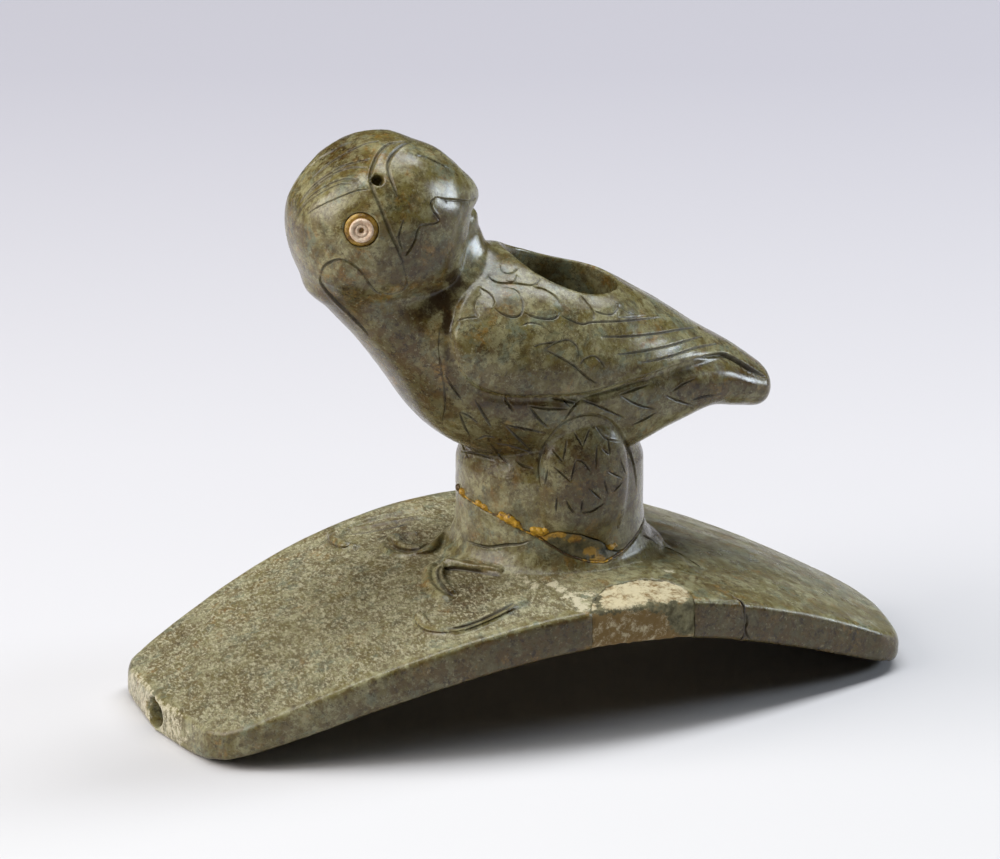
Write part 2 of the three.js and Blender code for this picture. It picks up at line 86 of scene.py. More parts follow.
class Finish:
    """A material, and the kinds of node that it is mixed from."""

    def __init__(self, name):
        self.material = bpy.data.materials.new(name)
        self.material.use_nodes = True
        self.tree = self.material.node_tree
        self.shader = self.tree.nodes["Principled BSDF"]
        self.place = self.node("TexCoord").outputs["Object"]
        self.in_mm = self.scaled(1000, 1000, 1000)

    def feed(self, socket, value):
        """Gives a socket a number, a colour, or the output of another node."""
        if isinstance(value, bpy.types.NodeSocket):
            self.tree.links.new(value, socket)
        else:
            socket.default_value = (*value, 1) if socket.type == "RGBA" else value

    def node(self, kind, feeds=None, **settings):
        made = self.tree.nodes.new("ShaderNode" + kind)
        for setting, value in settings.items():
            setattr(made, setting, value)
        for socket, value in (feeds or {}).items():
            self.feed(made.inputs[socket], value)
        return made

    def scaled(self, x, y, z):
        return self.node("Mapping", {"Vector": self.place, "Scale": (x, y, z)}).outputs["Vector"]

    def clouds(self, size, detail, seed=None, roughness=0.65, twist=0.0, vector=None):
        """Noise of that size in mm; a seed gives each layer its own."""
        feeds = {"Vector": vector or self.in_mm, "Scale": 1 / size, "Detail": detail}
        feeds |= {"Roughness": roughness, "Distortion": twist}
        if seed is None:
            return self.node("TexNoise", feeds).outputs["Fac"]
        return self.node("TexNoise", {**feeds, "W": seed}, noise_dimensions="4D").outputs["Fac"]

    def between(self, value, low, high, least=0.0, most=1.0, how="SMOOTHSTEP"):
        feeds = {"Value": value, "From Min": low, "From Max": high, "To Min": least, "To Max": most}
        return self.node("MapRange", feeds, interpolation_type=how).outputs["Result"]

    def combined(self, how, *parts):
        return self.node("Math", dict(enumerate(parts)), operation=how).outputs["Value"]

    def times(self, a, b):
        return self.combined("MULTIPLY", a, b)

    def over(self, share, below, above):
        """One colour laid over another by the share."""
        return self.node("Mix", {0: share, 6: below, 7: above}, data_type="RGBA").outputs[2]

    def mark(self, name):
        """What the skin's own marks say at each point."""
        return self.node("Attribute", attribute_name=name).outputs["Fac"]

    def bumped(self, height, distance, **feeds):
        feeds = {"Distance": distance * MM, "Height": height, **feeds}
        return self.node("Bump", feeds).outputs["Normal"]

    def mixed(self, **feeds):
        """The finished material, its shader fed by name, as in Base_Color."""
        for socket, value in feeds.items():
            self.feed(self.shader.inputs[socket.replace("_", " ")], value)
        return self.material


bpy.ops.mesh.primitive_plane_add(size=8)
board = bpy.context.object
board.name = "board"
# The board's colours darken from front to back: a painted fall-off of the light over its lavender tint.
BOARD_FRONT, BOARD_MIDDLE, BOARD_BACK = (0.66, 0.65, 0.65), (0.60, 0.585, 0.605), (0.475, 0.46, 0.505)
board_paint = Finish("board_paint")
from_camera = {"Vector": board_paint.place, "Rotation": (0, 0, math.radians(CAMERA_TURN))}
seen_along = board_paint.node("Mapping", from_camera).outputs["Vector"]
depth = board_paint.node("SeparateXYZ", {"Vector": seen_along}).outputs["Y"]
front_half = board_paint.between(depth, -0.12, 0.089, how="LINEAR")
back_half = board_paint.between(depth, 0.089, 0.26, how="LINEAR")
board_colour = board_paint.over(front_half, BOARD_FRONT, BOARD_MIDDLE)
board_colour = board_paint.over(back_half, board_colour, BOARD_BACK)
board_paint.mixed(Base_Color=board_colour, Roughness=0.9, Specular_IOR_Level=0.1)
board.data.materials.append(board_paint.material)

soft_lamp("lamp_above", (0.12, 0.04, 0.92), (0.26, 1.6), 11.5, (0.93, 0.97, 1.0))
soft_lamp("lamp_right", (1.05, -0.10, 0.32), (0.32, 0.24), 5.4, (0.80, 0.90, 1.0))
soft_lamp("lamp_left", (-0.90, 0.08, 0.60), (0.9, 0.7), 12.3, (1.0, 0.96, 0.91))
room = bpy.data.worlds.new("room")
room.use_nodes = True
room_light = room.node_tree.nodes["Background"]
room_light.inputs["Color"].default_value = (0.80, 0.86, 1.0, 1)
room_light.inputs["Strength"].default_value = 0.012
bpy.context.scene.world = room


# The slab
# The stem of the pipe: an arched slab of fine olive-grey pipestone, ground flat, its rims rubbed
# to a shine, with the foot of the pedestal and the bird's toes left standing on it. It broke
# across behind the pedestal, so it is carved whole here and parted into two stones there.
BREAK_GAP = 0.3
HAIRLINE = 0.08
OVERLAP = 0.1
SLAB_GRAIN = 0.19
SLAB_END, PEDESTAL_X = 50, 4
PEDESTAL_BREAK = [
    (-14, 28.4), (-8.6, 27.1), (-5.7, 25.9), (-1.4, 23.6), (1.5, 21.6),
    (4.4, 20.4), (6.6, 20), (9.8, 20.7), (12.4, 21.6), (22, 24.4),
]
SLAB_CRACK = [
    (23.2, -30), (22.6, -22), (20.8, -19), (19.3, -14), (18.7, -6.3), (18.4, 0),
    (17.6, 6), (14.4, 12), (9.4, 17), (3.2, 21), (-0.6, 30),
]
PLASTER_OUTLINE = [
    (0.4, -30), (0.2, -24.4), (1.6, -21.6), (4.6, -18.4), (9.4, -17), (13.4, -17.6),
    (15.3, -20), (14.3, -30),
]
PHOTO_WIDTH, PHOTO_HEIGHT = 1000, 859


def pick(piece):
    bpy.ops.object.select_all(action="DESELECT")
    bpy.context.view_layer.objects.active = piece
    piece.select_set(True)


def new_piece(name, mesh):
    piece = bpy.data.objects.new(name, mesh)
    bpy.context.scene.collection.objects.link(piece)
    pick(piece)
    return piece


def face_outwards(piece, weld=False):
    """Turns all its faces outwards, its loose triangles welded first where asked."""
    pick(piece)
    bpy.ops.object.mode_set(mode="EDIT")
    bpy.ops.mesh.select_all(action="SELECT")
    if weld:
        bpy.ops.mesh.remove_doubles(threshold=0.00001)
    bpy.ops.mesh.normals_make_consistent(inside=False)
    bpy.ops.object.mode_set(mode="OBJECT")


def welded_copy(node, name):
    """A piece of its own in the solid's shape."""
    piece = new_piece(name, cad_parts[node].data.copy())
    piece.data.materials.clear()
    face_outwards(piece, weld=True)
    return piece


def joined(pieces, name):
    bpy.ops.object.select_all(action="DESELECT")
    for piece in pieces:
        piece.select_set(True)
    bpy.context.view_layer.objects.active = pieces[0]
    bpy.ops.object.join()
    pieces[0].name = name
    return pieces[0]


def rounded(name, place, size, lean=0.0):
    """An egg shape with those half sizes, leaning towards the tail."""
    bpy.ops.mesh.primitive_uv_sphere_add(
        segments=64, ring_count=40, radius=MM,
        location=Vector(place) * MM, rotation=(0, lean, 0), scale=size,
    )
    piece = bpy.context.object
    piece.name = name
    bpy.ops.object.transform_apply(location=True, rotation=True, scale=True)
    return piece


def skin_points(stone):
    flat = np.empty(len(stone.data.vertices) * 3)
    stone.data.vertices.foreach_get("co", flat)
    return flat.reshape(-1, 3) / MM


def skin_normals(stone):
    flat = np.empty(len(stone.data.vertices) * 3)
    stone.data.vertex_normals.foreach_get("vector", flat)
    return flat.reshape(-1, 3)


def move_skin(stone, points):
    stone.data.vertices.foreach_set("co", (points * MM).ravel())
    stone.data.update()


def finish_skin(stone, modifier, **settings):
    """One modifier, added and applied."""
    bpy.context.view_layer.objects.active = stone
    bpy.ops.object.modifier_add(type=modifier)
    added = stone.modifiers[-1]
    for setting, value in settings.items():
        setattr(added, setting, value)
    bpy.ops.object.modifier_apply(modifier=added.name)


def remesh(stone, grain):
    """Joins what overlaps into one even skin."""
    finish_skin(stone, "REMESH", mode="VOXEL", voxel_size=grain * MM, adaptivity=0)


def carve(stone, tool):
    """Takes the tool's shape out of the stone, and puts the tool away."""
    pick(stone)
    finish_skin(stone, "BOOLEAN", object=tool, operation="DIFFERENCE", solver="MANIFOLD")
    bpy.data.objects.remove(tool)


def soft_group(stone, name, shares):
    """A vertex group in ten steps of weight."""
    group = stone.vertex_groups.new(name=name)
    steps = np.round(np.clip(shares, 0, 1) * 10).astype(int)
    for step in range(1, 11):
        group.add(np.flatnonzero(steps == step).tolist(), step / 10, "REPLACE")


def rub(stone, reach, grain, where=None):
    """Rubs the surface even over about that reach. where gives each point's share, from 0 to 1."""
    passes = max(1, round(2 * (reach / grain) ** 2))
    if where is None:
        finish_skin(stone, "SMOOTH", factor=0.5, iterations=passes)
        return
    soft_group(stone, "rubbed", where)
    finish_skin(stone, "SMOOTH", factor=0.5, iterations=passes, vertex_group="rubbed")
    stone.vertex_groups.clear()


def roughened(stone, name, size, height, where=None, level=0.5):
    """Rises and dips of that size, over the whole skin or by each point's share."""
    dips = bpy.data.textures.new(name, "CLOUDS")
    dips.noise_scale = size * MM
    dips.noise_depth = 2
    dips.noise_basis = "IMPROVED_PERLIN"
    settings = {"texture": dips, "strength": height * MM, "mid_level": level}
    if where is not None:
        soft_group(stone, name, where)
        settings["vertex_group"] = name
    finish_skin(stone, "DISPLACE", **settings)
    stone.vertex_groups.clear()


def bent(a, b, c, d, t):
    """The places from b to c on the smooth curve through all four."""
    bend = (2 * a - 5 * b + 4 * c - d) * t**2 + (3 * b - a - 3 * c + d) * t**3
    return 0.5 * (2 * b + (c - a) * t + bend)


def smooth_line(marks, spacing):
    """Points close together on the smooth curve through the marks."""
    marks = np.array(marks, float)
    ends = np.vstack([2 * marks[0] - marks[1], marks, 2 * marks[-1] - marks[-2]])
    line = []
    for a, b, c, d in zip(ends, ends[1:], ends[2:], ends[3:]):
        t = np.linspace(0, 1, max(2, int(np.linalg.norm(c - b) / spacing)), endpoint=False)
        line.append(bent(a, b, c, d, t[:, None]))
    return np.vstack([*line, marks[-1:]])


def laid_on(tree, seen, side=1):
    """A line seen in the photograph laid on the stone, or on its far side mirrored, with normals."""
    scale = camera.data.sensor_width / PHOTO_WIDTH / camera.data.lens
    turn = camera.rotation_euler.to_matrix()
    found = []
    for u, v in smooth_line(seen, 0.8):
        sight = turn @ Vector(((u - PHOTO_WIDTH / 2) * scale, (PHOTO_HEIGHT / 2 - v) * scale, -1))
        spot, normal, *_ = tree.ray_cast(camera.location, sight.normalized())
        if spot is not None and side < 0:
            spot, normal, *_ = tree.find_nearest(Vector((spot.x, -spot.y, spot.z)))
        if spot is not None:
            found.append((spot / MM, normal))
    return np.array([spot for spot, _ in found]), np.array([normal for _, normal in found])


def seen_at(points):
    """Where the camera sees the points, in the photograph's pixels; the far half seen mirrored."""
    turn = np.array(camera.rotation_euler.to_matrix())
    near = points * (1, 0, 1) - np.abs(points * (0, 1, 0))
    local = (near * MM - np.array(camera.location)) @ turn
    scale = camera.data.lens / camera.data.sensor_width * PHOTO_WIDTH
    flat = local[:, :2] / -local[:, 2:] * scale
    return np.stack([PHOTO_WIDTH / 2 + flat[:, 0], PHOTO_HEIGHT / 2 - flat[:, 1]], axis=1)


def laid_out(stone, strokes):
    """The strokes as lines on the skin: spots, normals, directions along and across, how cut."""
    tree = BVHTree.FromObject(stone, bpy.context.evaluated_depsgraph_get())
    lines = []
    for how, side, seen in strokes:
        spots, normals = laid_on(tree, seen, side)
        if len(spots) < 3:
            continue
        along = np.gradient(spots, axis=0)
        along /= np.linalg.norm(along, axis=1)[:, None] + 1e-9
        lines.append((spots, normals, along, np.cross(normals, along) * side, how))
    return lines


def beside(points, line, reach):
    """The points near a line: their numbers, how far each is across it and away, its taper."""
    spots, normals, along, across, how = line
    box = np.all((points > spots.min(0) - reach) & (points < spots.max(0) + reach), axis=1)
    for batch in np.array_split(np.flatnonzero(box), box.sum() // 20000 + 1):
        offsets = points[batch, None, :] - spots[None]
        nearest = np.argmin((offsets**2).sum(2), axis=1)
        offset = offsets[np.arange(len(batch)), nearest]
        lateral = (offset * across[nearest]).sum(1)
        last = (nearest == 0) | (nearest == len(spots) - 1)
        beyond = np.where(last, (offset * along[nearest]).sum(1), 0)
        off_skin = (offset * normals[nearest]).sum(1)
        run = nearest / (len(spots) - 1)
        end = np.clip(np.minimum(run, 1 - run) / how.get("taper", 0.2), 0, 1) ** 0.6
        yield batch, lateral, np.sqrt(lateral**2 + beyond**2 + 0.3 * off_skin**2), end


def finer_along(stone, lines):
    """More facets where the cuts come, so that thin cuts stay sharp."""
    points = skin_points(stone)
    near = np.zeros(len(points), bool)
    for line in lines:
        width = line[4]["width"] * 1.6 + 0.1
        for batch, _, away, _ in beside(points, line, width + 0.2):
            near[batch[away < width]] = True
    mesh = stone.data
    edges = np.empty(len(mesh.edges) * 2, int)
    mesh.edges.foreach_get("vertices", edges)
    pick(stone)
    bpy.ops.object.mode_set(mode="EDIT")
    bpy.ops.mesh.select_mode(type="VERT")
    bpy.ops.mesh.select_all(action="DESELECT")
    bpy.ops.object.mode_set(mode="OBJECT")
    mesh.vertices.foreach_set("select", near)
    mesh.edges.foreach_set("select", near[edges.reshape(-1, 2)].all(1))
    bpy.ops.object.mode_set(mode="EDIT")
    bpy.ops.mesh.subdivide(number_cuts=1, ngon=False)
    bpy.ops.object.mode_set(mode="OBJECT")


def cut_skin(stone, lines):
    """Sinks the cuts. A cut may drop the stone on one side of it, or stand up as a crest."""
    points, normals = skin_points(stone), skin_normals(stone)
    sunk = np.zeros(len(points))
    for line in lines:
        how = line[4]
        width, depth, fade = how["width"], how.get("depth", 0), how.get("fade", 1)
        reach = max(width * 2.2, 3.2 * fade if "drop" in how else 0) + 0.2
        for batch, lateral, away, end in beside(points, line, reach):
            taper = width * (0.5 + 0.5 * end)
            down = depth * end * np.clip(1 - away / taper, 0, 1)
            down -= 0.16 * depth * end * np.exp(-(((away - 1.35 * taper) / (0.45 * taper)) ** 2))
            if "drop" in how:
                over_by = lateral * how["lower"]
                step = np.clip(over_by / 0.25 + 0.5, 0, 1) * np.exp(-np.clip(over_by, 0, None) / fade)
                down += how["drop"] * step * np.clip(3.2 - away / fade, 0, 1) * end
            down -= how.get("crest", 0) * end * np.exp(-((away / width) ** 2))
            sunk[batch] += down
    move_skin(stone, points - normals * sunk[:, None])


def mark_skin(stone, name, amounts):
    layer = stone.data.attributes.get(name) or stone.data.attributes.new(name, "FLOAT", "POINT")
    layer.data.foreach_set("value", np.clip(amounts, 0, 1).astype(np.float32))


def marks_on(stone, name):
    amounts = np.empty(len(stone.data.vertices), np.float32)
    stone.data.attributes[name].data.foreach_get("value", amounts)
    return amounts


def mark_cuts(stone, lines):
    """How dark with dirt and painted shade, pale with dust and polished by touch the points of the cuts
    are.
    """
    points = skin_points(stone)
    marks = {name: np.zeros(len(points)) for name in ("dirt_and_shade", "dust", "touched")}
    for line in lines:
        how = line[4]
        amounts = {"dirt_and_shade": how.get("dirt_and_shade", 1), "dust": how.get("dust", 0)}
        amounts["touched"] = how.get("crest", 0) * 3
        for batch, _, away, end in beside(points, line, how["width"] * 1.5 + 0.3):
            taper = how["width"] * (0.5 + 0.5 * end)
            near = np.clip(1.3 - away / taper, 0, 1) * np.clip(end * 1.5, 0, 1)
            for name, amount in amounts.items():
                marks[name][batch] = np.maximum(marks[name][batch], amount * near)
    for name, amount in marks.items():
        mark_skin(stone, name, amount)


def spread(points, spots):
    """The shares of soft round spots, each a place in the photograph, its two reaches and strength."""
    seen = seen_at(points)
    share = np.zeros(len(points))
    for u, v, wide, tall, strength in spots:
        off = ((seen[:, 0] - u) / wide) ** 2 + ((seen[:, 1] - v) / tall) ** 2
        share = np.maximum(share, strength * np.exp(-off))
    return share


def thinned(stone, most):
    """Joins facets where the skin is flat, down to the given number of triangles."""
    triangles = sum(len(face.vertices) - 2 for face in stone.data.polygons)
    if triangles > most:
        finish_skin(stone, "DECIMATE", ratio=most / triangles)


# The solids' two stones and their fill are drawn together until they overlap, and made one.
slab_front = welded_copy("platform_front", "slab_front")
slab_rear = welded_copy("platform_rear", "slab_rear")
slab_notch = welded_copy("plaster_fill", "slab_notch")
breaks_x, breaks_z = np.array(PEDESTAL_BREAK).T
crack_x, crack_y = np.array(SLAB_CRACK).T
for stone, side, shift in ((slab_front, 1, BREAK_GAP + OVERLAP), (slab_rear, -1, -BREAK_GAP)):
    points = skin_points(stone)
    foot_z = np.interp(points[:, 0], breaks_x, breaks_z) - BREAK_GAP
    on_pedestal = np.hypot(points[:, 0] - PEDESTAL_X, points[:, 1]) < 17
    on_break = (np.abs(points[:, 2] - foot_z) < 0.02) & on_pedestal
    points[on_break, 2] += BREAK_GAP - HAIRLINE
    on_crack = np.abs(points[:, 0] - np.interp(points[:, 1], crack_y, crack_x) + side * BREAK_GAP) < 0.02
    points[on_crack, 0] += shift
    move_skin(stone, points)
NOTCH_MIDDLE, NOTCH_GROWN = np.array([7.4, -24]), (1.05, 1.06)
points = skin_points(slab_notch)
points[:, :2] = NOTCH_MIDDLE + (points[:, :2] - NOTCH_MIDDLE) * NOTCH_GROWN
move_skin(slab_notch, points)

slab = joined([slab_front, slab_rear, slab_notch], "slab")
remesh(slab, SLAB_GRAIN)
carve(slab, rounded("mouth", (-50.4, 1.3, 2.5), (5.0, 2.5, 1.9), 0.3))
points, normals = skin_points(slab), skin_normals(slab)
upright = np.clip((0.25 - np.abs(normals[:, 2])) / 0.1, 0, 1) * (points[:, 2] < 19)
level = np.clip((np.abs(normals[:, 2]) - 0.86) / 0.06, 0, 1)
from_pedestal = np.hypot(points[:, 0] - PEDESTAL_X, points[:, 1])
level *= np.where(normals[:, 2] > 0, np.clip((from_pedestal - 17.5) / 3, 0, 1), 1)
level *= np.where(points[:, 2] > 2.5, 1, 0.3)
rub(slab, 0.5, SLAB_GRAIN)
rub(slab, 1.6, SLAB_GRAIN, np.maximum(level, upright))

# The rims are worn round, the rear corners most.
places_x = np.arange(-SLAB_END, SLAB_END + 1, 2)
points = skin_points(slab)
half_widths = [np.abs(points[np.abs(points[:, 0] - x) < 1.2, 1]).max() for x in places_x]


def from_rim(points):
    """How far from the slab's outline each point is, seen from above."""
    from_side = np.interp(points[:, 0], places_x, half_widths) - np.abs(points[:, 1])
    return np.minimum(from_side, SLAB_END - np.abs(points[:, 0]))


rub(slab, 1.0, SLAB_GRAIN, np.clip(1.6 - from_rim(points) / 1.1, 0, 1))
rear_corner = np.clip((points[:, 0] - 44) / 4, 0, 1) * np.clip(1.6 - from_rim(points) / 2, 0, 1)
rub(slab, 2.4, SLAB_GRAIN, rear_corner)
roughened(slab, "hand_rubbed", 6.0, 0.14)

# Toes and talons, as lines read off the photograph: ridges rubbed round, hollow on the inside.
TOE_RIDGE = {"width": 0.62, "crest": 0.56, "dirt_and_shade": 0, "taper": 0.1}
TALON_RIDGE = {"width": 0.42, "crest": 0.50, "dirt_and_shade": 0, "taper": 0.12}
# The inner hollows' dark mark is painted shade in the recesses of the toes.
INNER_HOLLOW = {"width": 0.3, "depth": 0.28, "dirt_and_shade": 0.8, "taper": 0.1}
OUTER_HOLLOW = {"width": 0.5, "depth": 0.1, "dirt_and_shade": 0.1, "taper": 0.2}
BROKEN_LINE = {"width": 0.2, "depth": 0.32, "taper": 0.3}
TOE_LINES = [
    (TOE_RIDGE, [(452, 600), (443, 597), (434, 590), (429, 580), (430, 570), (436, 564)]),
    (INNER_HOLLOW, [(453, 597), (446, 590), (440, 580), (438, 570), (442, 566)]),
    (TALON_RIDGE, [(436, 563), (446, 561), (458, 563), (472, 566), (488, 568), (503, 571)]),
    (INNER_HOLLOW, [(444, 569), (458, 569), (472, 571), (488, 574), (501, 576)]),
    (TALON_RIDGE, [(415, 612), (418, 621), (427, 629), (441, 633), (456, 633), (470, 629), (492, 620),
        (518, 605)]),
    (INNER_HOLLOW, [(452, 629), (468, 625), (484, 619), (500, 611), (514, 603)]),
    (TALON_RIDGE, [(345, 530), (362, 529), (378, 526), (394, 523), (410, 520), (426, 518)]),
    (INNER_HOLLOW, [(350, 534), (364, 533), (380, 530), (396, 527), (412, 523)]),
    (TOE_RIDGE, [(333, 531), (331, 537), (336, 543), (346, 547), (358, 548)]),
    (TALON_RIDGE, [(385, 541), (384, 548), (392, 554), (404, 557), (417, 555), (430, 549), (438, 541),
        (444, 532)]),
    (INNER_HOLLOW, [(392, 545), (398, 549), (408, 551), (418, 549), (428, 543)]),
    (TALON_RIDGE, [(386, 540), (397, 537), (408, 535), (418, 534)]),
    (OUTER_HOLLOW, [(423, 566), (421, 578), (426, 592), (436, 601)]),
]
SLAB_MARKS = [
    (BROKEN_LINE, [(465, 540), (478, 545), (490, 547), (505, 545), (520, 544), (530, 541)]),
    (BROKEN_LINE, [(642, 535), (650, 539), (658, 544)]),
    (BROKEN_LINE, [(661, 546), (672, 550), (684, 556)]),
    (BROKEN_LINE, [(688, 559), (694, 563), (700, 567)]),
    (BROKEN_LINE, [(733, 597), (740, 601), (744, 607)]),
    (BROKEN_LINE, [(746, 613), (747, 622), (745, 630), (750, 640)]),
]
slab_lines = laid_out(slab, [(how, 1, seen) for how, seen in TOE_LINES + SLAB_MARKS])
finer_along(slab, slab_lines)
cut_skin(slab, slab_lines)


def cutter(outline, flat, name, low, high):
    """A block with that outline: flat Z blocks stand upright, flat Y blocks lie across the pipe."""
    block = bpy.data.meshes.new(name)
    corners = [(a, b, low) if flat == "Z" else (a, low, b) for a, b in outline]
    block.from_pydata([Vector(corner) * MM for corner in corners], [], [range(len(corners))])
    piece = new_piece(name, block)
    bpy.ops.object.mode_set(mode="EDIT")
    bpy.ops.mesh.select_all(action="SELECT")
    rise = Vector((0, 0, high - low) if flat == "Z" else (0, high - low, 0)) * MM
    bpy.ops.mesh.extrude_region_move(TRANSFORM_OT_translate={"value": rise})
    bpy.ops.object.mode_set(mode="OBJECT")
    face_outwards(piece)
    return piece


def parted(stone, tool, how, name):
    """A copy of the stone with the tool's block taken from it, or only what is inside the block."""
    part = new_piece(name, stone.data.copy())
    finish_skin(part, "BOOLEAN", object=tool, operation=how, solver="MANIFOLD")
    return part


GREY_GREEN, DARK_GREEN = (0.150, 0.168, 0.112), (0.072, 0.076, 0.042)
BROWN_AND_SHADE, OCHRE, FLECK = (0.050, 0.034, 0.006), (0.225, 0.118, 0.022), (0.030, 0.017, 0.005)
PALE_GRAIN, DARK_GRAIN = (0.36, 0.33, 0.20), (0.045, 0.030, 0.010)
PALE_GRIT, DARK_GRIT = (0.46, 0.43, 0.29), (0.100, 0.068, 0.024)
STAIN_AND_SHADE, DIRT_AND_SHADE, DUST = (0.026, 0.013, 0.005), (0.014, 0.009, 0.004), (0.50, 0.45, 0.31)


def pipestone(name, ground, pale, brown, rough, grain_height):
    """Fine olive stone: clouded ground, ochre and brown blotches, pale and dark grains, dark cuts; its
    brown, stain and cut marks also lay painted shade.
    """
    look = Finish(name)
    clouds, between, mark, times = look.clouds, look.between, look.mark, look.times
    drawn_out = look.scaled(1000, 480, 1000)
    ground_off = mark("ground")
    brown_and_shade = mark("brown")
    browner = between(brown_and_shade, 0, 1, 0.50, 1.0)
    ochre = between(clouds(1.9, 9, 4.1, 0.78, 0.6), 0.50, 0.60)
    grit = clouds(0.36, 5, 17.9, 0.8, 0, drawn_out)
    pale_grit = clouds(0.34, 5, 27.3, 0.8, 0, drawn_out)
    stain_and_shade = look.combined("ADD", mark("stain_and_shade"), between(clouds(1.6, 8, 5.5, 0.75), 0.25, 0.75, -0.3, 0.3))
    dirt_and_shade = times(mark("dirt_and_shade"), between(clouds(0.9, 5, 3.3), 0.25, 0.55, 0.6, 1.0))
    dust = look.combined("ADD", mark("dust"), between(clouds(1.1, 9, 15.5, 0.82), 0.30, 0.70, -0.5, 0.5))
    # From the ground up: how much of the skin each layer covers, and its colour.
    layers = [
        (between(clouds(3.6, 9, 1.3, 0.70, 0.5), 0.41, 0.59), pale),
        (between(clouds(3.0, 9, 21.7, 0.72, 0.4), 0.52, 0.60, 0, 0.8), GREY_GREEN),
        (between(clouds(5.0, 9, 51.9, 0.74, 0.4), 0.54, 0.62, 0, 0.6), DARK_GREEN),
        # The brown mark darkens real brown patches and also paints shade: slab sides, the bird's belly,
        # thighs and face under the beak, and a painted shadow under the tail.
        (between(brown_and_shade, 0, 1, 0, 0.80), BROWN_AND_SHADE),
        (times(ochre, between(clouds(7, 4, 11.1), 0.45, 0.62, 0, 0.8)), OCHRE),
        (times(between(clouds(1.8, 10, 41.2, 0.80, 0.5), 0.49, 0.535), browner), brown),
        (times(between(clouds(0.9, 8, 9.2, 0.82, 0.3), 0.53, 0.565), browner), FLECK),
        (between(clouds(0.50, 6, 2.4, 0.8), 0.55, 0.65, 0, 0.60), PALE_GRAIN),
        (between(clouds(0.46, 6, 31.4, 0.8), 0.55, 0.64, 0, 0.70), DARK_GRAIN),
        (times(ground_off, between(grit, 0.49, 0.58, 0, 0.65)), DARK_GRIT),
        (times(ground_off, between(pale_grit, 0.49, 0.60, 0, 0.80)), PALE_GRIT),
        # The stain mark is a real neck stain, with painted shade in the crevices about it and under the
        # wing's rim.
        (between(stain_and_shade, 0.30, 0.80, 0, 0.93), STAIN_AND_SHADE),
        (dirt_and_shade, DIRT_AND_SHADE),
        (between(dust, 0.5, 0.75), DUST),
    ]
    colour = ground
    for share, tint in layers:
        colour = look.over(share, colour, tint)

    polish = between(clouds(2.4, 7, 6.6, 0.66, 0.3), 0.3, 0.7, rough - 0.07, rough + 0.10)
    dull = look.combined("MAXIMUM", dirt_and_shade, ground_off)
    gloss = look.node("Mix", {0: dull, 2: polish, 3: 0.6}).outputs[0]
    fine = look.bumped(clouds(0.5, 9, 8.8, 0.7, 0.2), grain_height)
    normal = look.bumped(grit, 0.22, Normal=fine, Strength=ground_off)
    return look.mixed(Base_Color=colour, Roughness=gloss, Normal=normal, Specular_IOR_Level=0.42)


def put_in_place(piece, look, node, slot):
    pick(piece)
    piece.data.materials.clear()
    piece.data.materials.append(look)
    bpy.ops.object.shade_smooth()
    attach(piece, "root")
    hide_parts(node)


behind_crack = [(x + 0.01, y) for x, y in SLAB_CRACK] + [(60, 30), (60, -30)]
crack_block = cutter(behind_crack, "Z", "crack_block", -5, 40)
notch_block = cutter(PLASTER_OUTLINE, "Z", "notch_block", 5, 30)
rear_stone = parted(slab, crack_block, "INTERSECT", "rear_stone")
plaster_patch = parted(slab, notch_block, "INTERSECT", "plaster_patch")
parting = joined([crack_block, notch_block], "parting")
front_stone = parted(slab, parting, "DIFFERENCE", "front_stone")
for spare in (slab, parting):
    bpy.data.objects.remove(spare)

SLAB_GREEN, SLAB_PALE, SLAB_BROWN = (0.155, 0.130, 0.046), (0.305, 0.288, 0.162), (0.080, 0.048, 0.012)
slab_stone = pipestone("slab_stone", SLAB_GREEN, SLAB_PALE, SLAB_BROWN, 0.27, 0.05)
# Brown patches on the slab; the one at (670, 530) under the tail is a painted shadow of the bird.
BROWNED_AND_SHADED_SLAB = [
    (300, 560, 70, 28, 0.7), (200, 610, 40, 25, 0.6), (250, 700, 50, 20, 0.4), (470, 595, 30, 25, 0.8),
    (380, 610, 60, 30, 0.3), (560, 570, 30, 25, 0.4), (670, 530, 45, 22, 0.8), (700, 580, 60, 14, 0.5),
]
WORN_PALE = [
    (553, 584, 8, 4, 0.9), (561, 590, 8, 5, 0.9), (570, 596, 9, 6, 0.9), (578, 602, 9, 7, 0.95),
    (585, 607, 9, 7, 0.95), (516, 574, 8, 6, 0.6), (524, 580, 9, 7, 0.65), (534, 587, 9, 7, 0.65),
    (640, 562, 14, 3, 0.5), (672, 571, 12, 3, 0.6), (590, 594, 14, 5, 0.7),
]
# The front stone's top was never polished again after it weathered: it is pitted all over.
WEATHERED_TO, FADES_OVER = 10, 14
PIT_SIZE, PIT_DEPTH = 0.75, 0.19
FRONT_TRIANGLES, REAR_TRIANGLES = 196000, 150000


def weathered(stone, level_enough, sides_out, least):
    """The share of the weathered top: level, clear of the rims, and fading out towards the tail."""
    points, normals = skin_points(stone), skin_normals(stone)
    top = np.clip((sides_out[0] - np.abs(normals[:, 1])) / sides_out[1], 0, 1)
    top *= np.clip((normals[:, 2] - level_enough[0]) / level_enough[1], 0, 1)
    top *= np.clip((WEATHERED_TO - points[:, 0]) / FADES_OVER, least, 1)
    return top * np.clip(from_rim(points) / 1.5 - 0.4, 0, 1)


